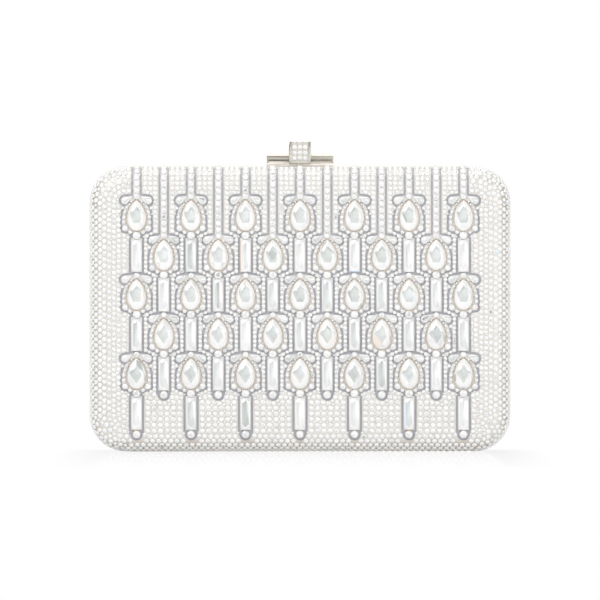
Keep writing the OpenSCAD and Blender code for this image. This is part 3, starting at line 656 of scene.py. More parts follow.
class RoomMap:
    # how much room is left on the face round each point, kept on a grid
    step = 0.15 * mm
    most = 10 * mm
    beyond = 4 * mm     # how far past a stone it is noted

    def __init__(self):
        self.half = case["w"] / 2
        self.xs = np.arange(-self.half, self.half, self.step)
        self.ys = np.arange(0, case["h"], self.step)
        self.room = np.full((len(self.ys), len(self.xs)), self.most)

    def take(self, first, second, margin, distance):
        # distance takes grids of x and y that reach round two spots
        margin += self.beyond
        across, up = (slice(*np.searchsorted(line, (min(ends) - margin, max(ends) + margin)))
                      for line, ends in zip((self.xs, self.ys), zip(first, second)))
        x, y = np.meshgrid(self.xs[across], self.ys[up])
        if x.size:
            self.room[up, across] = np.minimum(self.room[up, across], distance(x, y))

    def takeTaper(self, p, q, rp, rq, bare):
        # a circle at p joined to one at q
        span = (q[0] - p[0], q[1] - p[1])
        squared = max(span[0] ** 2 + span[1] ** 2, 1e-12)

        def distance(x, y):
            t = np.clip(((x - p[0]) * span[0] + (y - p[1]) * span[1]) / squared, 0, 1)
            off = np.hypot(x - p[0] - t * span[0], y - p[1] - t * span[1])
            return off - (rp + t * (rq - rp)) - bare

        self.take(p, q, max(rp, rq) + bare, distance)

    def takeRound(self, spot, r, bare):
        self.takeTaper(spot, spot, r, r, bare)

    def takeBox(self, centre, w, l, bare):
        def distance(x, y):
            dx, dy = np.abs(x - centre[0]) - w / 2, np.abs(y - centre[1]) - l / 2
            outside = np.hypot(np.maximum(dx, 0), np.maximum(dy, 0))
            return outside + np.minimum(np.maximum(dx, dy), 0) - bare

        x0, y0 = centre
        self.take((x0 - w / 2, y0 - l / 2), (x0 + w / 2, y0 + l / 2), bare, distance)

    def at(self, x, y):
        i = min(max(int(round((x + self.half) / self.step)), 0), len(self.xs) - 1)
        j = min(max(int(round(y / self.step)), 0), len(self.ys) - 1)
        return self.room[j, i]


class StoneField:
    # the small stones that are set, kept in cells so that neighbours are found fast
    cell = 3 * mm

    def __init__(self, room=None):
        self.room = room
        self.cells = {}
        self.spots = []

    def isFree(self, place, r):
        x, y, depth = place
        if y < 2 * case["stoneT"] and abs(x) < band["half"] + r and depth < band["depth"] + r:
            return False    # the bands that the case stands on have no stones
        i, j, k = self.key(place)
        near = [(a, b, c) for a in (i - 1, i, i + 1) for b in (j - 1, j, j + 1) for c in (k - 1, k, k + 1)]
        return all(math.dist(place, other) >= r + otherR + field["gap"]
                   for cell in near for other, otherR in self.cells.get(cell, ()))

    def key(self, place):
        return tuple(int(math.floor(c / self.cell)) for c in place)

    def set(self, place, out, r, height=field["h"], tight=False):
        # sets a stone if it has room, or if it only has to clear the other stones
        hasRoom = tight or not self.room or self.room.at(place[0], place[1]) >= r
        if not hasRoom or not self.isFree(place, r):
            return False
        self.cells.setdefault(self.key(place), []).append((place, r))
        self.spots.append((place, out, r, height, 0.0))
        return True

    def setFlat(self, x, y, r, height=field["h"], tight=False):
        return self.set((x, y, case["faceZ"]), (0, 0, 1), r, height, tight)

    def setRings(self, start, rise, count, r, pitch):
        # rows that follow the outline of the case, from the rim inwards
        for ring in range(count):
            last = None
            for place, out in edgeWalk(start + ring * rise, field["ringStep"]):
                if last and math.dist(place, last) < pitch:
                    continue
                if self.set(place, out, r):
                    last = place

    def setEdge(self):
        # the rows lose step where they turn, so smaller stones close what is left there
        self.setRings(*field["edge"])
        reach = case["cornerR"] + field["patchReach"]
        for r in field["fillR"][1:5]:
            v = r
            while v < case["sideL"]:
                for place, out in edgeWalk(v, field["patchStep"]):
                    high = case["h"] / 2 - abs(place[1] - case["h"] / 2)
                    if high <= reach and case["w"] / 2 - abs(place[0]) <= reach:
                        self.set(place, out, r)
                v += field["patchStep"]

    def fill(self, radii):
        # stones go wherever there is still room on the flat of the face, largest first. Each is set
        # against the edge of the room, next to the last one, so that they line the bare channels.
        room, low = self.room, case["edgeR"] - field["fillOver"]
        for (x, y, z), out, r, height, turn in self.spots:
            if z > case["faceZ"] - field["fillDepth"]:
                room.takeRound((x, y), r, field["gap"])
        for r in radii:
            rows, columns = np.nonzero(room.room >= r)
            xs, ys = room.xs[columns], room.ys[rows]
            isOpen = (np.abs(xs) < case["w"] / 2 - low) & (ys > low) & (ys < case["h"] - low)
            last = None
            while isOpen.any():
                rows, columns, xs, ys = rows[isOpen], columns[isOpen], xs[isOpen], ys[isOpen]
                free = room.room[rows, columns]
                isOpen = free >= r
                if not isOpen.any():
                    break
                least = free[isOpen].min()
                snug = np.nonzero(isOpen & (free < least + field["fillSnug"]))[0]
                pick = snug[np.argmin(np.hypot(xs[snug] - last[0], ys[snug] - last[1]))] if last else snug[0]
                last = (float(xs[pick]), float(ys[pick]))
                self.setFlat(*last, r, field["h"] * (field["lowH"] if r < field["lowR"] else 1), tight=True)
                room.takeRound(last, r, field["gap"])


def dropRoom(room):
    # takes the large stones and their bare channel out of the room for small ones
    tipR, lean = field["tipR"], leaf["lean"]
    for x, tip, row in drops:
        for across, up, r, height, turn in halo:
            room.takeRound((x + across, tip + up), r, field["bareHalo"])
        for s in (-1, 1):
            start = (x + s * drop["leafTip"][0], tip + drop["leafTip"][1])
            fat = (start[0] + s * leaf["reach"] * math.sin(lean), start[1] - leaf["reach"] * math.cos(lean))
            room.takeTaper(start, fat, tipR, leaf["w"] / 2, field["bareLeaf"])
        middle = (x, tip - pear["l"] * pear["wideShare"])
        room.takeTaper(middle, (x, tip - pear["w"] / 4), pear["w"] / 2, tipR, field["barePear"])
        room.takeRound((x, tip - drop["linkY"]), drop["linkR"], field["bareLink"])
        foot = tip - drop["baguetteY"] - baguette["l"] / 2
        room.takeBox((x, foot), baguette["w"], baguette["l"], field["bareBaguette"])
        knot = (x, tip - drop["knotY"])
        over = (x, case["h"] + field["past"]) if row < 2 else knot
        room.takeTaper(knot, over, drop["strandR"], drop["strandR"], field["bareStrand"])
        if isLast(row):
            room.takeRound((x, tip - drop["endY"]), drop["endR"], field["bareEnd"])


def faceStart():
    # where the rows on the face follow those round the edge
    start, rise, count, r, pitch = field["edge"]
    return start + rise * (count - 1) + field["face"][0]


def topStrips(stones, x, tip, s):
    # three rows of stones over the top edge, on one side of a strand
    r = field["stripR"]
    for column in range(3):
        across = drop["pitch"] / 4 + (column - 1) * field["stripStep"]
        v = r + field["stripLift"]
        while True:
            place, out = topSpot(x + s * across, v)
            isBare = stones.room.at(place[0], place[1]) < r and v > case["sideL"]
            if isBare and (column < 2 or place[1] < tip - field["stripLow"]):
                break
            stones.set(place, out, r, tight=True)
            v += field["stripPitch"]


def frontField():
    stones = StoneField(RoomMap())
    dropRoom(stones.room)
    columns = drop["count"] - 1
    for x, tip, row in drops:
        for s in (-1, 1):
            if s * x > columns / 2 * drop["pitch"] - 1 * mm:
                continue    # outside the last drops
            if row == 0:
                topStrips(stones, x, tip, s)
            for across, down, r in field["ties"]:
                stones.setFlat(x + s * across, tip - down, r, tight=True)
            if row < drop["rows"] - 1:
                for k in range(field["flankCount"]):
                    y = tip - field["flankY"] - k * field["flankPitch"]
                    stones.setFlat(x + s * field["flankX"], y, field["flankR"], tight=True)
    stones.setEdge()
    for gap in range(columns):
        middle = (gap - (columns - 1) / 2) * drop["pitch"]
        for row in range(int((field["gridTop"] - field["gridLow"]) / field["gridY"]) + 1):
            for k in range(field["gridCount"]):
                x = middle + (k - (field["gridCount"] - 1) / 2) * field["gridX"]
                stones.setFlat(x, field["gridLow"] + row * field["gridY"], field["gridR"])
    stones.setRings(faceStart(), *field["face"])
    stones.fill(field["fillR"])
    return stones.spots


def backField():
    stones = StoneField()
    stones.setEdge()
    r, ringPitch = field["edge"][3:]
    stones.setRings(faceStart(), field["face"][0], field["backRings"], r, ringPitch)
    stones.room = RoomMap()
    # rows in a honeycomb fill the middle
    inset, pitch = case["edgeR"] + field["backInset"], 2 * r + field["backGap"]
    rows = int((case["h"] - 2 * inset) / (field["backRise"] * pitch))
    rise = (case["h"] - 2 * inset) / rows
    count = int((case["w"] / 2 - inset) / pitch)
    for row in range(rows + 1):
        for k in range(-count - 1, count + 1):
            stones.setFlat((k + 0.5 * (row % 2)) * pitch, inset + row * rise, r)
    stones.fill(field["fillR"][:4])
    return stones.spots


def roundSpots():
    # the round stones of the drops, by kind: place, way out, radius, height, turn
    found = {"halo": [], "link": [], "strand": []}

    def flat(kind, x, y, r, height, turn=0):
        found[kind].append(((x, y, case["faceZ"]), (0, 0, 1), r, height, turn))

    for x, tip, row in drops:
        for across, up, r, height, turn in halo:
            flat("halo", x + across, tip + up, r, height, turn)
        flat("link", x, tip - drop["linkY"], drop["linkR"], drop["tallH"])
        if isLast(row):
            y = tip - drop["endY"]
            tilt = 0 if y >= case["edgeR"] else math.asin((case["edgeR"] - y) / case["arcR"])
            z = case["faceZ"] - case["arcR"] * (1 - math.cos(tilt))
            out = (0, -math.sin(tilt), math.cos(tilt))
            found["link"].append(((x, y, z), out, drop["endR"], drop["tallH"], 0))
        if row > 1:
            flat("link", x, tip - drop["knotY"], drop["strandR"], drop["roundH"])
        else:
            v = onFace(tip - drop["knotY"])
            while v > drop["strandR"]:
                found["strand"].append((*topSpot(x, v), drop["strandR"], drop["roundH"], 0))
                v -= drop["strandPitch"]
    return found


# setting the stones

toneKeys = ("table", "ledge", "crown", "facet", "tableSpread", "stone", "dark", "darkTable", "paintedFlash",
            "tableFrom")
tones = {
    # how light the table, the ledge round it and the crown are painted, as painted reflection, how far facets,
    # tables and stones differ, how many facets are painted dark, how dark a table gets, how many carry a
    # painted flash, and from what share of the height it's table
    "small": (0.77, 0.2, 0.97, 0.08, 0.10, 0.05, 0.014, 0.45, 0.008, 0),
    "round": (0.70, 0.2, 0.97, 0.10, 0.10, 0.05, 0.02, 0.45, 0.012, 0),
    "pear": (0.44, 0.04, 0.98, 0.10, 0.035, 0.03, 0.05, 0.16, 0.022, 0.90),
    "lowPear": (0.41, 0.09, 0.98, 0.12, 0.05, 0.03, 0.05, 0.16, 0.022, 0.90),
    "leaf": (0.60, 0.2, 0.98, 0.07, 0.07, 0.07, 0.02, 0.3, 0.015, 0),
    "baguette": (0.58, 0.2, 0.96, 0.08, 0.06, 0.06, 0.04, 0.16, 0.02, 0),
}
# painted reflection: the girdle's painted light, how far a dark facet is painted darker and the strongest
# painted flash; then how far round stones lean
girdleTone, darkFacet, flashMost, tilted = 0.85, 0.45, 0.7, 0.022
tableFacing, fullyFacing, girdleFacing = 0.93, 0.999, 0.2     # how far a facet looks up


def paintedFacetLights(gem, look, count, chance):
    # painted reflection: how light each facet of each stone is painted, and how far its painted flash of colour
    # goes
    normals = np.array([face.normal for face in gem.polygons])
    heights = np.array([v.co.z for v in gem.vertices])
    faces = len(gem.polygons)
    isFlat = normals[:, 2] > tableFacing
    if look["tableFrom"]:
        lowest = np.array([heights[list(face.vertices)].min() for face in gem.polygons])
        isFlat = lowest > look["tableFrom"] * heights.max()
    base = np.where(isFlat, look["table"] + (fullyFacing > normals[:, 2]) * look["ledge"],
                    np.where(np.abs(normals[:, 2]) < girdleFacing, girdleTone, look["crown"]))
    spread = np.where(isFlat, look["tableSpread"], look["facet"])
    paintedFacetLight = base + chance.normal(0, 1, (count, faces)) * spread + chance.normal(0, look["stone"], (count, 1))
    darker = np.where(isFlat, look["darkTable"], darkFacet)
    paintedFacetLight = np.where(chance.random((count, faces)) < look["dark"], paintedFacetLight - darker, paintedFacetLight)
    paintedFlash = np.where(chance.random((count, faces)) < look["paintedFlash"],
                     chance.uniform(-flashMost, flashMost, (count, faces)), 0)
    return {"paintedFacetLight": np.clip(paintedFacetLight, 0, 1), "paintedFlash": paintedFlash}


def upright(vectors):
    return vectors / np.linalg.norm(vectors, axis=1)[:, None]


def setStones(name, gemName, spots, half, seed):
    # one mesh of many copies of a stone. Round stones are scaled to the radius and height of their spot,
    # and the others have a radius and height of 1.
    gem, way = gems[gemName].data, toward[half]
    chance = np.random.default_rng(seed)
    points = np.array([v.co for v in gem.vertices])
    loops = np.array([i for face in gem.polygons for i in face.vertices])
    starts = np.array([face.loop_start for face in gem.polygons])
    count, faces = len(spots), len(gem.polygons)
    place, out = (np.array([s[i] for s in spots], float) for i in (0, 1))
    place = np.stack([place[:, 0], case["partingY"] + way * place[:, 2], place[:, 1]], 1)
    out = np.stack([out[:, 0], way * out[:, 2], out[:, 1]], 1)
    size = np.array([[s[2], s[2], s[3]] for s in spots])
    turn = np.array([s[4] for s in spots])
    if gemName in ("small", "round"):
        turn = turn + chance.uniform(0, 2 * math.pi, count)
        out = upright(out + chance.normal(0, tilted, (count, 3)))
    up = np.where(np.abs(out[:, 2:]) > 0.9, [[0.0, way, 0.0]], [[0.0, 0.0, 1.0]])
    up = upright(up - np.sum(up * out, 1)[:, None] * out)
    across = np.cross(up, out)
    c, s = np.cos(turn)[:, None], np.sin(turn)[:, None]
    sideways, along = across * c + up * s, up * c - across * s
    local = points[None] * size[:, None]
    made = (place[:, None] + local[..., :1] * sideways[:, None]
            + local[..., 1:2] * along[:, None] + local[..., 2:] * out[:, None])

    mesh = bpy.data.meshes.new(name)
    mesh.vertices.add(count * len(points))
    mesh.vertices.foreach_set("co", made.astype(np.float32).ravel())
    each = np.arange(count)[:, None]
    mesh.loops.add(count * len(loops))
    mesh.loops.foreach_set("vertex_index", (loops[None] + each * len(points)).astype(np.int32).ravel())
    mesh.polygons.add(count * faces)
    mesh.polygons.foreach_set("loop_start", (starts[None] + each * len(loops)).astype(np.int32).ravel())
    mesh.update(calc_edges=True)
    mesh.validate()
    # each facet's painted reflection and painted flash go into face attributes that the crystal finish reads
    look = dict(zip(toneKeys, tones[gemName]))
    for key, values in paintedFacetLights(gem, look, count, chance).items():
        layer = mesh.attributes.new(key, "FLOAT", "FACE")
        layer.data.foreach_set("value", values.astype(np.float32).ravel())
    print(name, count, "stones,", count * faces, "faces")
    return linked(name, mesh)


# the plate that the small stones are set in

plate = {"lifts": (0.03 * mm, 0.40 * mm), "low": 0.12 * mm, "steps": 10, "turns": 12}


def slabRing(inset, depth, half):
    # the case's outline moved inwards, at one depth
    r, y = case["cornerR"] - inset, case["partingY"] + toward[half] * depth
    ring = []
    for cx, cz, start in corners(case["w"] / 2 - case["cornerR"], case["h"] / 2 - case["cornerR"]):
        for i in range(plate["turns"] + 1):
            a = math.radians(start + 90 * i / plate["turns"])
            ring.append((cx + r * math.cos(a), y, case["h"] / 2 + cz + r * math.sin(a)))
    return ring


def slabSide(lift, half):
    # rings from the rim up the side and round the edge, lifted off the shell
    r = case["arcR"] + lift
    rings = [slabRing(case["stoneT"] - lift, case["rimT"] + plate["low"], half)]
    for i in range(plate["steps"] + 1):
        a = math.pi / 2 * i / plate["steps"]
        depth = case["faceZ"] - case["arcR"] + r * math.sin(a)
        rings.append(slabRing(case["edgeR"] - r * math.cos(a), depth, half))
    return rings


def settingPlate(name, node, half):
    # pale and thin, with the openings of the stones' CAD layer
    low, high = (slabSide(lift, half) for lift in plate["lifts"])
    rings = low[::-1] + high
    rows = numbered(len(rings), len(rings[0]))
    faces = []
    for below, above in zip(rows, rows[1:]):
        faces += quads([above, below], isRound=True)
    faces += [rows[0], rows[-1][::-1]]
    slab = makeMesh(name, [point for ring in rings for point in ring], faces)
    combine(slab, "INTERSECT", copyNode("cutter", node))
    print(name, len(slab.data.polygons), "faces")
    return smoothed(slab, 30)


# trays under the drops and strands

tray = {
    "edge": 1.02 * mm,      # how far the halo's tray stays inside its opening
    "rim": 0.04 * mm,       # what a tray shows round a stone
    "low": -0.45 * mm, "high": 0.3 * mm, "strandHigh": 0.26 * mm, "strandLow": 0.15 * mm, "sides": 20,
    "leafShare": 0.9, "leafUp": 0.5 * mm, "leafDown": 1.6 * mm, "overlap": 0.6 * mm,
    # outline of the opening round a halo, as shares of its reach and of the pear's length
    "haloShares": [(0.3, 0), (0.62, 0.06), (0.81, 0.17), (0.91, 0.29), (0.98, 0.45), (1, 0.6), (1, 0.75),
                   (0.98, 0.92), (0.76, 1.06), (0.3, 1.14)],
    "haloReach": 7.25 * mm,
}


def plateFrom(outline):
    # a flat plate with this outline
    lift = {"value": (0, 0, tray["high"] - tray["low"])}
    return makeMesh("trayPart", raised(outline, tray["low"]), [list(range(len(outline)))],
                    (bpy.ops.mesh.extrude_region_move, {"TRANSFORM_OT_translate": lift}))


def discOutline(x, y, r):
    return [(x + px, y + py) for px, py in circlePoints(tray["sides"], r)]


def shrunk(outline, step):
    # the outline moved inwards
    moved = []
    for k, (x, y) in enumerate(outline):
        bx, by = outline[k - 1]
        ax, ay = outline[(k + 1) % len(outline)]
        length = math.hypot(ax - bx, ay - by)
        moved.append((x - (ay - by) / length * step, y + (ax - bx) / length * step))
    return moved


def dropTray(hasEnd):
    # tray under one drop, its tip at the origin: the plates under its stones, joined into one
    rim, leafR, lean = tray["rim"], leaf["w"] / 2, math.pi / 2 - leaf["lean"]
    side = [(x * tray["haloReach"], -y * pear["l"]) for x, y in tray["haloShares"]]
    outlines = [shrunk(side[::-1] + [(-x, y) for x, y in side], tray["edge"])]
    across, down = drop["haloBigShare"]
    x, y = drop["leafTip"]
    thick = leafR * tray["leafShare"]
    for s in (-1, 1):
        fx, fy = s * (x + leaf["reach"] * math.cos(lean)), y - leaf["reach"] * math.sin(lean)
        nx, ny = s * math.sin(lean) * thick, math.cos(lean) * thick
        outlines += [discOutline(s * across * pear["w"], -down * pear["l"], drop["haloBigR"] + rim),
                     discOutline(fx, fy, leafR + rim),
                     [(fx + nx, fy + ny), (fx - nx, fy - ny),
                      (0, y - tray["leafDown"]), (0, y + tray["leafUp"])][::s]]
    halfW, top = baguette["w"] / 2 + rim, -drop["baguetteY"] + tray["overlap"]
    foot = -drop["baguetteY"] - baguette["l"] - rim
    outlines += [discOutline(0, -drop["knotY"], drop["strandR"] + rim),
                 discOutline(0, -drop["linkY"], drop["linkR"] + rim),
                 [(-halfW, foot), (halfW, foot), (halfW, top), (-halfW, top)]]
    if hasEnd:
        outlines.append(discOutline(0, -drop["endY"], drop["endR"] + rim))
    whole, *others = [plateFrom(outline) for outline in outlines]
    for part in others:
        combine(whole, "UNION", part)
    return whole


def onFront(x, y, z):
    return (x, case["partingY"] - z, y)


def dropTrays():
    # one tray to a drop, bent with the shell where a drop reaches its rounded edge
    points, faces = [], []
    for hasEnd in (False, True):
        model = dropTray(hasEnd)
        for x, tip, row in drops:
            if isLast(row) != hasEnd:
                continue
            first = len(points)
            for v in model.data.vertices:
                up = tip + v.co.y
                fall = max(case["edgeR"] - up, 0)
                depth = case["faceZ"] - case["arcR"] + math.sqrt(case["arcR"] ** 2 - fall ** 2) + v.co.z
                points.append(onFront(x + v.co.x, up, depth))
            faces += [[first + i for i in face.vertices] for face in model.data.polygons]
        bpy.data.objects.remove(model)
    return makeMesh("dropTrays", points, faces)


def strandTrays():
    # strips under the strands, from the first drops up and over the edge to the rim
    points, faces = [], []
    halfW, steps = drop["strandR"] + tray["rim"], plate["steps"]
    for x, tip, row in drops:
        if row > 1:
            continue
        stops = [tray["strandLow"], case["wallL"]]
        stops += [case["wallL"] + case["arcL"] * k / steps for k in range(1, steps + 1)]
        stops.append(onFace(tip - drop["knotY"]))
        rows = numbered(len(stops), 4, len(points))
        for v in stops:
            (px, up, depth), (ox, oy, oz) = topSpot(x, v)
            for lift, s in zip([tray["low"]] * 2 + [tray["strandHigh"]] * 2, (-1, 1, 1, -1)):
                points.append(onFront(x + s * halfW, up + oy * lift, depth + oz * lift))
        faces += quads(rows, isRound=True) + [rows[0], rows[-1][::-1]]
    return makeMesh("strandTrays", points, faces)


def onFlat(x, y, turn=0):
    # a spot for a stone that keeps its own size
    return (x, y, case["faceZ"]), (0, 0, 1), 1, 1, turn


def dressFront():
    fitOut(settingPlate("frontSettingPlate", "front_pave_bed", "front"), "front_half", "bed", "front_pave_bed")
    small = frontField()
    kinds = roundSpots()
    pears = [[onFlat(x, tip) for x, tip, row in drops if (row >= drop["pointedRow"]) == isLow]
             for isLow in (False, True)]
    bars = [onFlat(x, tip - drop["baguetteY"] - baguette["l"] / 2) for x, tip, row in drops]
    leaves = [onFlat(x + s * drop["leafTip"][0], tip + drop["leafTip"][1], s * leaf["lean"])
              for x, tip, row in drops for s in (-1, 1)]
    fitOut(dropTrays(), "front_half", "tray", "halo_stones")
    fitOut(strandTrays(), "front_half", "tray", "strand_stones")
    sets = [
        ("frontSmallStones", "small", small, "smallCrystal", "front_pave_bed"),
        ("haloStones", "round", kinds["halo"], "crystal", "halo_stones"),
        ("linkStones", "round", kinds["link"], "crystal", "link_stones"),
        ("strandStones", "round", kinds["strand"], "crystal", "strand_stones"),
        ("pearStones", "pear", pears[0], "crystal", "pear_stones"),
        ("lowPearStones", "lowPear", pears[1], "crystal", "pear_stones"),
        ("baguetteStones", "baguette", bars, "crystal", "baguette_stones"),
        ("leafStones", "leaf", leaves, "crystal", "leaf_stones"),
    ]
    for seed, (name, gemName, spots, finish, node) in enumerate(sets, 11):
        fitOut(setStones(name, gemName, spots, "front", seed), "front_half", finish, node)


def dressBack():
    fitOut(settingPlate("backSettingPlate", "back_pave_bed", "back"), "back_half", "bed", "back_pave_bed")
    parts = {"backEdgeStones": [], "backFaceStones": []}
    for spot in backField():
        isEdge = spot[0][2] < case["faceZ"] - 1e-6
        parts["backEdgeStones" if isEdge else "backFaceStones"].append(spot)
    for seed, (name, spots) in enumerate(parts.items(), 31):
        fitOut(setStones(name, "small", spots, "back", seed), "back_half", "smallCrystal", "back_pave_bed")


dressFront()
dressBack()


# the clasp

polished = 38   # degrees that shade smooth


def softened(name, node, width):
    # a copy of a metal piece with its edges eased, as polishing leaves them
    piece = copyNode(name, node)
    onAll(piece, (bpy.ops.mesh.dissolve_limited, {"angle_limit": math.radians(1)}))
    ease = piece.modifiers.new("ease", "BEVEL")
    ease.width = width
    ease.segments = 2
    ease.limit_method = "ANGLE"
    ease.angle_limit = math.radians(25)
    applyAll(piece)
    return smoothed(piece, polished)


claspPieces = [
    # piece, node, body, finish, eased edge
    ("claspRail", "clasp_rail", "back_half", "paintedShadeBar", 0.14 * mm),
    ("claspCube", "clasp_slider", "slider", "clasp", 0.16 * mm),
    ("latchBar", "latch_bolt", "slider", "clasp", 0.1 * mm),
    ("frontBaseBand", "front_base_band", "front_half", "rim", 0.12 * mm),
    ("backBaseBand", "back_base_band", "back_half", "rim", 0.12 * mm),
]
for name, node, body, finish, width in claspPieces:
    fitOut(softened(name, node, width), body, finish, node)

# the foot and what is under the bar wear a lighter plate, a painted reflection of the pale floor, where the bar
# wears a darker one, painted shade: both are the same clasp metal
footH = 2.3 * mm
rail = bpy.data.objects["claspRail"]
rail.data.materials.append(finishes["paintedLightFoot"][0])
for face in rail.data.polygons:
    if face.center.z < case["h"] + footH and abs(face.normal.z) < 0.9:
        face.material_index = 1

cube = {
    "size": 9.7 * mm, "border": 1.3 * mm, "pitch": 2.367 * mm, "r": 1.05 * mm, "h": 0.8 * mm,
    "recess": 0.5 * mm, "bedT": 0.08 * mm, "claw": 0.21 * mm, "clawSunk": 0.28 * mm, "clawCount": 4,
    # fine lines on the frame: width, height, depth, eased edge, and their places
    "lineW": 0.22 * mm, "lineH": 0.07 * mm, "lineSunk": 0.05 * mm, "lineEase": 0.03 * mm,
    "lineIn": 0.03 * mm, "lineOut": 0.3 * mm, "lineEnd": 0.2 * mm, "crossIn": 0.25 * mm,
}
cubeLow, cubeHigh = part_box("clasp_slider")
cubeMiddle = (cubeLow + cubeHigh) / 2


def boxPart(low, high, ease=0.0):
    onlySelect()
    bpy.ops.mesh.primitive_cube_add(size=1, location=[(a + b) / 2 for a, b in zip(low, high)])
    part = bpy.context.object
    part.scale = [b - a for a, b in zip(low, high)]
    settle(part)
    if ease:
        onAll(part, (bpy.ops.mesh.bevel, {"offset": ease, "segments": 2}))
    return part


def spanPart(turn, a0, a1, b0, b1, out0, out1, ease=0.0):
    ends = list(zip(turn(a0, b0, out0), turn(a1, b1, out1)))
    return boxPart([min(pair) for pair in ends], [max(pair) for pair in ends], ease)


def onCubeFaces(name, make):
    # makes parts for the front, back and top of the cube: turns a flat layout into each face's place
    middle, half = cubeMiddle, cube["size"] / 2
    turns = {
        "front": lambda a, b, out: (middle.x + a, middle.y - half - out, middle.z + b),
        "back": lambda a, b, out: (middle.x - a, middle.y + half + out, middle.z + b),
        "top": lambda a, b, out: (middle.x + a, middle.y + b, cubeHigh.z + out),
    }
    onlySelect(*[part for face, turn in turns.items() for part in make(face, turn)])
    bpy.ops.object.join()
    whole = bpy.context.object
    whole.name = name
    settle(whole)
    return whole


def cubeBeds(face, turn):
    # the beds of the stones
    well, top = cube["size"] / 2 - cube["border"], cube["size"] / 2 - cube["recess"]
    return [spanPart(turn, -well, well, -top if face == "top" else -well, top,
                     -cube["recess"] - cube["bedT"] / 2, -cube["recess"] + cube["bedT"])]


def cubeTrims(face, turn):
    # two fine lines along each side of the frame, and a claw wherever four stones meet
    half, lineW = cube["size"] / 2, cube["lineW"]
    inner, outer, end = half - cube["border"] + cube["lineIn"], half - cube["lineOut"], half - cube["lineEnd"]
    lines = [(s * start, s * (start + lineW), -end, end) for s in (-1, 1) for start in (inner, outer - lineW)]
    if face != "top":
        lines += [(-outer, outer, start, start + lineW)
                  for start in (-half + cube["lineOut"], -half + cube["border"] - cube["crossIn"])]
    parts = [spanPart(turn, *line, -cube["lineSunk"], cube["lineH"], cube["lineEase"]) for line in lines]
    places = [(i - (cube["clawCount"] - 1) / 2) * cube["pitch"] for i in range(cube["clawCount"])]
    for a in places:
        for b in places:
            onlySelect()
            bpy.ops.mesh.primitive_ico_sphere_add(
                subdivisions=2, radius=cube["claw"], location=turn(a, b, -cube["clawSunk"]))
            parts.append(bpy.context.object)
    return parts


fitOut(onCubeFaces("cubeBeds", cubeBeds), "slider", "clasp", "clasp_slider")
fitOut(smoothed(onCubeFaces("cubeTrim", cubeTrims), polished), "slider", "clasp", "clasp_slider")


def sliderStones():
    # nine stones on the front, back and top of the cube, in the back half's frame
    reach = (cubeHigh.x - cubeLow.x) / 2 - cube["recess"]
    depth = cubeMiddle.y - case["partingY"]
    spots = []
    for i in (-1, 0, 1):
        for j in (-1, 0, 1):
            x, b = cubeMiddle.x + i * cube["pitch"], j * cube["pitch"]
            spots += [(place, out, cube["r"], cube["h"], 0) for place, out in (
                ((x, cubeMiddle.z + b, depth + reach), (0, 0, 1)),
                ((x, cubeMiddle.z + b, depth - reach), (0, 0, -1)),
                ((x, cubeHigh.z - cube["recess"], depth + b), (0, 1, 0)))]
    return setStones("cubeStones", "round", spots, "back", 41)


fitOut(sliderStones(), "slider", "crystal", "slider_stones")
for gem in gems.values():
    bpy.data.objects.remove(gem)
print("clasp made")

# leather inside: a wall strip, a padded floor panel and a slip pocket. Insets are from the outline of the
# rims, depths from the parting plane

wall = {
    "inset": 3.3 * mm, "top": 4.62 * mm, "arcDepth": 10.0 * mm, "arcInset": 8.7 * mm, "arcR": 5.4 * mm,
    "arcSteps": 6, "t": 0.54 * mm, "hemT": 0.66 * mm, "hem": 2.4 * mm, "pleat": 0.1 * mm, "pleats": 9,
    "hemRows": (0.5, 1, 1.25), "seamShare": 0.6, "step": 5 * mm,
}
panel = {
    "inset": 9.0 * mm, "r": 7.0 * mm, "under": 15.68 * mm, "edge": 15.3 * mm, "face": 15.05 * mm,
    "roll": 1.5 * mm, "seam": 4.0 * mm, "seamIn": 0.3 * mm, "cell": 3.2 * mm,
    "crown": 0.95 * mm, "pocketCrown": 0.28 * mm,
    "quickShare": 0.7, "heldShare": 0.16, "pocketHeld": 0.6, "mouthFree": 2 * mm, "easeCells": 4,
    "near": (0, 0.15, 0.45, 0.75, 1.0, 1.25, 1.6),  # rows near the border, as shares of the seam's inset
}
pocket = {
    "w": 122 * mm, "h": 58 * mm, "lift": 26 * mm, "r": 5 * mm, "inner": 15.0 * mm, "t": 0.5 * mm,
    "hem": 4.5 * mm, "hemT": 0.096 * mm, "seam": 2.0 * mm, "columns": 36, "rows": 20, "crowded": 0.35,
    # how far the mouth stands open, over what shares of width and height, and its uneven sag
    "bulge": 0.5 * mm, "bulgeShare": 0.8, "swellX": 0.35, "swellZ": 0.5, "sag": 0.25, "sagTurns": (5.2, 1.1),
    "mouthSeam": 0.8, "runOver": 20 * mm,
}
pocket["top"] = pocket["lift"] + pocket["h"]
stitch = {
    "pitch": 3.3 * mm, "l": 2.2 * mm, "r": 0.2 * mm, "sides": 6, "step": 6 * mm, "shoulder": 0.85,
    "lift": 0.25, "dip": 0.6,   # shares of the radius: how high the thread lies, and how far its ends go down
}


def insideSpot(side, x, z, depth):
    return Vector((x, case["partingY"] + toward[side] * depth, z))


def roundedOutline(w, low, high, r, step):
    # points and outward directions round a rounded rectangle, anticlockwise
    spots = []
    x = w / 2 - r
    centres = [(x, low + r, -90), (x, high - r, 0), (-x, high - r, 90), (-x, low + r, 180)]

    def arcSpot(cx, cz, turn):
        way = Vector((math.cos(math.radians(turn)), math.sin(math.radians(turn))))
        return Vector((cx + r * way.x, cz + r * way.y)), way

    for index, (cx, cz, start) in enumerate(centres):
        spots += [arcSpot(cx, cz, start + 90 * k / 8) for k in range(9)]
        end, way = spots[-1]
        goal = arcSpot(*centres[(index + 1) % 4])[0]
        count = max(2, round((goal - end).length / step))
        spots += [(end.lerp(goal, i / count), way) for i in range(1, count)]
    return spots


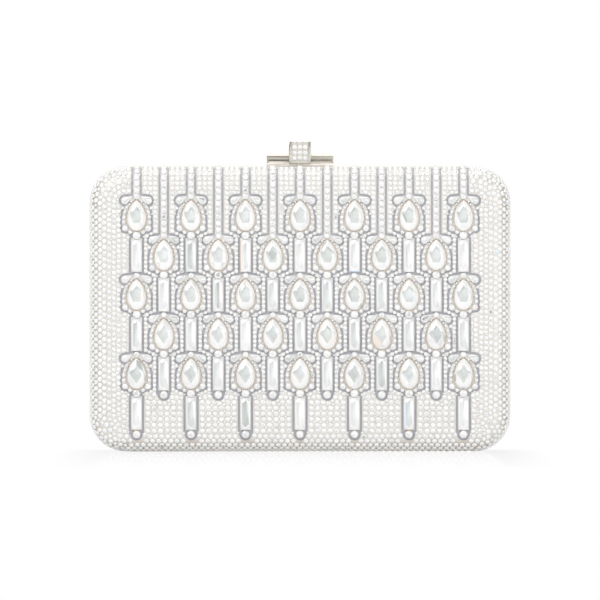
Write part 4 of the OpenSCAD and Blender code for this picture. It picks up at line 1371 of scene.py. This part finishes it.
def wallStrip(side):
    # goes once round under the rim and curves in to the floor. Its line has an inset, depth, lean and thickness
    inset, top, hemT, steps = (wall[key] for key in ("inset", "top", "hemT", "arcSteps"))
    hemDepths = [top + hemT / 2] + [top + wall["hem"] * share for share in wall["hemRows"]]
    line = [(inset, depth, 0.0) for depth in hemDepths + [wall["arcDepth"]]]
    for a in (math.pi / 2 * k / steps for k in range(1, steps + 1)):
        x, y = wall["arcR"] * math.cos(a), wall["arcR"] * math.sin(a)
        line.append((wall["arcInset"] - x, wall["arcDepth"] + y, a))
    line = [(*spot, hemT if k < 3 else wall["t"]) for k, spot in enumerate(line)]
    outline = roundedOutline(case["w"], 0, case["h"], case["cornerR"], wall["step"])
    points = []
    for spot, out in outline:
        pleat = 0.0
        if abs(out.x) > 0.01 and abs(out.y) > 0.01:    # in a corner
            turn = math.atan2(out.y, out.x) * wall["pleats"] * 4
            pleat = wall["pleat"] * (0.5 + 0.5 * math.cos(turn))
        section = [(x - t / 2 * math.cos(a), y + t / 2 * math.sin(a)) for x, y, a, t in line]
        for x, y, a, t in line[::-1]:
            reach = t / 2 + pleat * math.sin(a)
            section.append((x + reach * math.cos(a), y - reach * math.sin(a)))
        rim = hemT / 2
        section += [(inset + rim * 0.7, top + rim * 0.3), (inset, top), (inset - rim * 0.7, top + rim * 0.3)]
        for x, y in section:
            flat = spot - out * x
            points.append(insideSpot(side, flat.x, flat.y, y))
    rows = numbered(len(outline), len(section))
    strip = smoothed(makeMesh(side + "Wall", points, quads(rows + rows[:1], isRound=True)), 50)
    around = [2 * (case["w"] + case["h"] - 4 * x) - (8 - 2 * math.pi) * (case["cornerR"] - x)
              for x, *rest in line]
    spots = [Vector(spot[:2]) for spot in line]
    area = sum((around[k] + around[k + 1]) / 2 * (spots[k] - spots[k + 1]).length for k in range(len(line) - 1))
    return strip, around[0], area


def toBorder(x, z, w, low, high, r):
    # how far inside a rounded rectangle a spot lies
    px, pz = abs(x) - (w / 2 - r), abs(z - (low + high) / 2) - ((high - low) / 2 - r)
    return r - (math.hypot(max(px, 0), max(pz, 0)) + min(max(px, pz), 0))


def halfWidth(w, r, edge):
    # of a rounded rectangle, at this height over its lower edge
    return w / 2 - r + math.sqrt(max(0.0, r * r - max(0.0, r - edge) ** 2))


def seamGrid(w, low, high):
    # rows across the panel, with a line of points along its seam
    near = [share * panel["seam"] for share in panel["near"]]

    def cells(length):
        return max(2, round((length - 2 * near[-1]) / panel["cell"]))

    count = cells(high - low)
    heights = near + [near[-1] + (high - low - 2 * near[-1]) * i / count for i in range(1, count)]
    heights += [high - low - d for d in near[::-1]]
    rows = []
    for dz in heights:
        half = halfWidth(w, panel["r"], min(dz, high - low - dz))
        count = cells(w)
        row = [-half + d for d in near]
        row += [(-half + near[-1]) * (1 - 2 * i / count) for i in range(1, count)]
        row += [half - d for d in near[::-1]]
        rows.append([(x, low + dz) for x in row])
    return rows


def puffed(thing, held, caps):
    # cloth blown up by its padding between the lines where it is held
    def spots():
        return np.array([vertex.co[:] for vertex in thing.data.vertices])

    flat = spots()
    thing.vertex_groups.new(name="held").add(held, 1.0, "REPLACE")
    cloth = thing.modifiers.new("cloth", "CLOTH")
    cloth.settings.quality = 6
    cloth.settings.mass = 0.3
    cloth.settings.vertex_group_mass = "held"
    cloth.settings.use_pressure = True
    cloth.settings.uniform_pressure_force = 4
    cloth.settings.effector_weights.gravity = 0
    cloth.settings.shrink_min = -0.02
    cloth.collision_settings.use_collision = False
    scene = bpy.context.scene
    for frame in range(1, 21):
        scene.frame_set(frame)
    onlySelect(thing)
    bpy.ops.object.modifier_apply(modifier="cloth")
    scene.frame_set(1)
    move = spots() - flat
    length = np.linalg.norm(move, axis=1)
    return flat + move * (caps / (caps + length))[:, None]


def closedSheet(name, upper, lower, width):
    # two layers of points in rows, joined round their edge and smoothed
    shift, rows = len(upper), numbered(len(upper) // width, width)
    faces = quads(rows)
    faces += [(a + shift, d + shift, c + shift, b + shift) for a, b, c, d in faces]
    rim = rows[0] + [row[-1] for row in rows[1:]] + rows[-1][-2::-1] + [row[0] for row in rows[-2:0:-1]]
    faces += [(a, a + shift, b + shift, b) for a, b in zip(rim, rim[1:] + rim[:1])]
    whole = makeMesh(name, upper + lower, faces)
    smooth = whole.modifiers.new("smooth", "SUBSURF")
    smooth.levels = smooth.render_levels = 1
    applyAll(whole)
    return smoothed(whole, 50)


def floorPanel(side):
    w, low, high = case["w"] - 2 * panel["inset"], panel["inset"], case["h"] - panel["inset"]
    rows = seamGrid(w, low, high)
    flat = [spot for row in rows for spot in row]
    tops, held, caps = [], [], []
    for index, (x, z) in enumerate(flat):
        edge = toBorder(x, z, w, low, high, panel["r"])
        roll = min(1.0, max(0.0, edge) / panel["roll"])
        depth = panel["edge"] - (panel["edge"] - panel["face"]) * math.sin(roll * math.pi / 2)
        isHeld = panel["roll"] > edge or abs(edge - panel["seam"]) < panel["heldShare"] * panel["seam"]
        cap = panel["crown"]
        if side == "back":
            fromPocket = toBorder(x, z, pocket["w"], pocket["lift"], pocket["top"], pocket["r"])
            isSeam = abs(fromPocket) < panel["cell"] * panel["pocketHeld"]
            isHeld = isHeld or (isSeam and z < pocket["top"] - panel["mouthFree"])
            # little room under the pocket
            share = 0.5 + fromPocket / panel["cell"] / panel["easeCells"]
            cap = cap + (panel["pocketCrown"] - cap) * max(0.0, min(1.0, share))
        caps.append(cap)
        if isHeld:
            held.append(index)
        tops.append(insideSpot(side, x, z, depth))
    width = len(rows[0])
    face = makeMesh("panelFace", [tuple(top) for top in tops], quads(numbered(len(rows), width)))
    # the face has to look into the case, which is the way it swells
    if face.data.polygons[0].normal.y * toward[side] > 0:
        face.data.flip_normals()
    tops = [Vector(spot) for spot in puffed(face, held, np.array(caps))]
    bpy.data.objects.remove(face)
    return closedSheet(side + "Panel", tops, [insideSpot(side, x, z, panel["under"]) for x, z in flat], width)


def slipPocket():
    # sewn down on three sides, its hemmed mouth standing a little open
    def rounded(share, reach):
        return 1 - (1 - min(1.0, share / reach)) ** 2

    columns, rows, even = pocket["columns"], pocket["rows"], pocket["crowded"]
    sagScale, sagStart = pocket["sagTurns"]
    inner, outer = [], []
    for j in range(rows + 1):
        v = j / rows
        rise = pocket["h"] * v
        half = halfWidth(pocket["w"], pocket["r"], rise)
        hemT = pocket["hemT"] if pocket["hem"] > pocket["h"] - rise else 0.0
        for i in range(columns + 1):
            u = even * -math.cos(math.pi * i / columns) + (1 - even) * (2 * i / columns - 1)
            swell = rounded(1 - abs(u), pocket["swellX"]) * rounded(v, pocket["swellZ"])
            sag = 1 + pocket["sag"] * math.sin(sagScale * u + sagStart) * v
            depth = pocket["inner"] - pocket["bulge"] * swell * sag * pocket["bulgeShare"]
            inner.append(insideSpot("back", half * u, pocket["lift"] + rise, depth))
            outer.append(insideSpot("back", half * u, pocket["lift"] + rise, depth - pocket["t"] - hemT))
    return closedSheet("pocketLeather", inner, outer, columns + 1)


def stitchRun(name, path, leather, isClosed=True):
    # thread capsules along a path, each lying on the leather
    sides, r = stitch["sides"], stitch["r"]
    ends = path + path[:1] if isClosed else path
    lengths = [(b - a).length for a, b in zip(ends, ends[1:])]
    count = max(2, round(sum(lengths) / stitch["pitch"]))
    points, faces = [], []
    for index in range(count):
        goal = sum(lengths) * (index + 0.5) / count
        k = 0
        while goal > lengths[k]:
            goal -= lengths[k]
            k += 1
        along = (ends[k + 1] - ends[k]).normalized()
        hit, normal = leather.closest_point_on_mesh(ends[k] + along * goal)[1:3]
        up = normal.normalized()
        across = up.cross(along).normalized()
        centre = hit + up * r * stitch["lift"]
        start, half = len(points), stitch["l"] / 2
        points.append(centre - along * half - up * r * stitch["dip"])
        for way in (-stitch["shoulder"], stitch["shoulder"]):
            middle = centre + along * half * way
            for turn in (2 * math.pi / sides * side for side in range(sides)):
                points.append(middle + (across * math.cos(turn) + up * math.sin(turn)) * r)
        points.append(centre + along * half - up * r * stitch["dip"])
        near, far = numbered(2, sides, start + 1)
        for k in range(sides):
            n = (k + 1) % sides
            faces += [(start, near[n], near[k]), (near[k], near[n], far[n], far[k]),
                      (len(points) - 1, far[k], far[n])]
    return smoothed(makeMesh(name, points, faces), 80)


def ringThread(name, side, inset, r, depth, leather):
    # once round the inside of a half
    outline = roundedOutline(case["w"] - 2 * inset, inset, case["h"] - inset, r, stitch["step"])
    return stitchRun(name, [insideSpot(side, spot.x, spot.y, depth) for spot, out in outline], leather)


for side in toward:
    strip, stripL, stripArea = wallStrip(side)
    seat = floorPanel(side)
    inset = wall["inset"] + wall["hemT"] / 2
    hemThread = ringThread(side + "HemThread", side, inset, case["cornerR"] - inset,
                           wall["top"] + wall["hem"] * wall["seamShare"], strip)
    seamThread = ringThread(side + "PanelThread", side, panel["inset"] + panel["seam"],
                            panel["r"] - panel["seam"], panel["face"] - panel["seamIn"], seat)
    for thing, finish in ((strip, "leather"), (seat, "leather"), (hemThread, "thread"), (seamThread, "thread")):
        fitOut(thing, side + "_half", finish, side + "_lining")
    stripArea / stripL


def pocketRun():
    # down one side of the pocket, along its foot and up the other, open at the mouth
    seam = pocket["seam"]
    run = roundedOutline(pocket["w"] - 2 * seam, pocket["lift"] + seam, pocket["top"] + pocket["runOver"],
                         pocket["r"] - seam, stitch["step"])
    run = [spot for spot, out in run if pocket["top"] - seam > spot.y]
    first = max(range(len(run)), key=lambda i: (run[i] - run[i - 1]).length)
    return [insideSpot("back", spot.x, spot.y, pocket["inner"] - pocket["t"])
            for spot in run[first:] + run[:first]]


pouch = slipPocket()
sewn = stitchRun("pocketThread", pocketRun(), pouch, isClosed=False)
mouthX, mouthZ = pocket["w"] / 2 - pocket["seam"], pocket["top"] - pocket["hem"] * pocket["mouthSeam"]
mouthEnds = [insideSpot("back", s * mouthX, mouthZ, pocket["inner"] - pocket["t"] - pocket["bulge"])
             for s in (-1, 1)]
mouthThread = stitchRun("mouthThread", mouthEnds, pouch, isClosed=False)
for thing, finish in ((pouch, "leather"), (sewn, "thread"), (mouthThread, "thread")):
    fitOut(thing, "back_half", finish, "slip_pocket")
print("leather inside made")

# CAD nodes whose shape is right get their finish
nodeFinishes = {
    "lacquer": ["front_shell", "back_shell"],
    "rim": ["front_rim", "back_rim", "front_band_rivets", "back_band_rivets", "front_hinge_leaf",
            "back_hinge_leaf", "front_hinge_rivets", "back_hinge_rivets"],
    "spring": ["hinge_pin", "catch_spring", "catch_screws", "friction_spring"],
    "cup": ["pear_cups"],
    "clasp": ["stem_pin", "rail_pins"],
}
for finish, dressed in nodeFinishes.items():
    for node in dressed:
        nodes[node].data.materials.clear()
        nodes[node].data.materials.append(finishes[finish][0])
print("nodes finished:", sum(len(dressed) for dressed in nodeFinishes.values()))


# floor, light and camera

studio = {
    "floorR": 3.0, "camera": 3.0, "lookZ": 66.9 * mm, "frameW": 265.7 * mm, "sensor": 36.0, "ambient": 0.62,
    "floorWhite": 0.80,     # how far the floor is plain white to the eye, the rest keeps the shadow
    # the floor opens over what hangs at most this far below it: reach, share found and softness
    "underReach": 0.1, "underAt": 0.3, "underSoft": 0.15,
    # where the floor's shadow and reflection show, and over what length they fade: aside, in front, behind
    "near": [(0.087, 0.02), (0.02, 0.3), (0.0, 0.05)],
    # lamps: place, target, size, power
    "lamps": {
        "keyLamp": ((-0.7, -1.1, 0.95), (0, 0, 0.06), 0.9, 7.4),
        "fillLamp": ((0.9, -1.1, 0.15), (0, 0, 0.06), 1.0, 4.9),
        "topLamp": ((0.1, 0.2, 1.5), (0, 0, 0.06), 1.0, 6.0),
        "lowLamp": ((0, -0.7, 0.05), (0, 0, 0.01), 0.5, 0.4),
    },
}


def floorPiece():
    onlySelect()
    bpy.ops.mesh.primitive_circle_add(vertices=64, radius=studio["floorR"], fill_type="NGON")
    floor = bpy.context.object
    floor.name = "floor"
    look = Finish("paleFloor")
    seen = look.rays("Camera", "Glossy", "Transmission")
    plain = look.wire("ShaderNodeBsdfPrincipled", None, {"Base Color": (0.92, 0.92, 0.925), "Roughness": 0.04})
    white = look.wire("ShaderNodeEmission", None, {"Color": (1.0, 1.0, 1.0), "Strength": 1.0})
    x, y, z = look.parts(look.place())
    near = 1
    for way, (start, fade) in zip((x.size(), y * -1, y), studio["near"]):
        near = near * (1 - ((way - start) / fade).clamped())
    shown = look.wire("ShaderNodeMixShader", None, {
        0: seen.clamped() * (1 - near * (1 - studio["floorWhite"])), 1: plain, 2: white})
    # an opened front half hangs below the floor, and its inside is to be seen
    under = look.wire("ShaderNodeAmbientOcclusion", {"inside": True, "samples": 16}, {
        "Distance": studio["underReach"]}, output="AO")
    gone = look.wire("ShaderNodeBsdfTransparent")
    floor.data.materials.append(look.show(look.wire("ShaderNodeMixShader", None, {
        0: ((studio["underAt"] - under) / studio["underSoft"]).clamped(), 1: shown, 2: gone})))


def studioWorld():
    # plain white behind, with broad soft grey parts for metal and stones to mirror
    look = Finish("studio", isWorld=True)
    patches = look.ramp(look.noise(2.1, detail=1, vector=look.wire("ShaderNodeTexCoord", output="Generated")), [
        (0.0, (0.10, 0.10, 0.105)), (0.40, (0.22, 0.22, 0.225)), (0.50, (0.80, 0.80, 0.80)),
        (0.58, (1, 1, 1)), (1.0, (1, 1, 1))])
    colour = look.mix(look.rays("Glossy", "Transmission").clamped(), (studio["ambient"],) * 3, patches)
    colour = look.mix(look.rays("Camera"), colour, (1.0, 1.0, 1.0))
    bpy.context.scene.world = look.show(look.wire("ShaderNodeBackground", None, {0: colour, 1: 1.0}))


def studioLamps():
    for name, (place, target, size, power) in studio["lamps"].items():
        lamp = bpy.data.lights.new(name, "AREA")
        lamp.shape = "DISK"
        lamp.size = size
        lamp.energy = power
        thing = linked(name, lamp)
        thing.location = place
        thing.rotation_euler = (Vector(target) - Vector(place)).to_track_quat("-Z", "Y").to_euler()


def studioCamera():
    camera = bpy.data.cameras.new("camera")
    camera.sensor_width = studio["sensor"]
    camera.lens = studio["sensor"] * studio["camera"] / studio["frameW"]
    camera.clip_end = 50
    thing = linked("camera", camera)
    thing.location = (0, -studio["camera"], studio["lookZ"])
    thing.rotation_euler = (math.pi / 2, 0, 0)
    bpy.context.scene.camera = thing


floorPiece()
studioWorld()
studioLamps()
studioCamera()
bpy.context.scene.view_settings.view_transform = "Standard"
print("studio set")
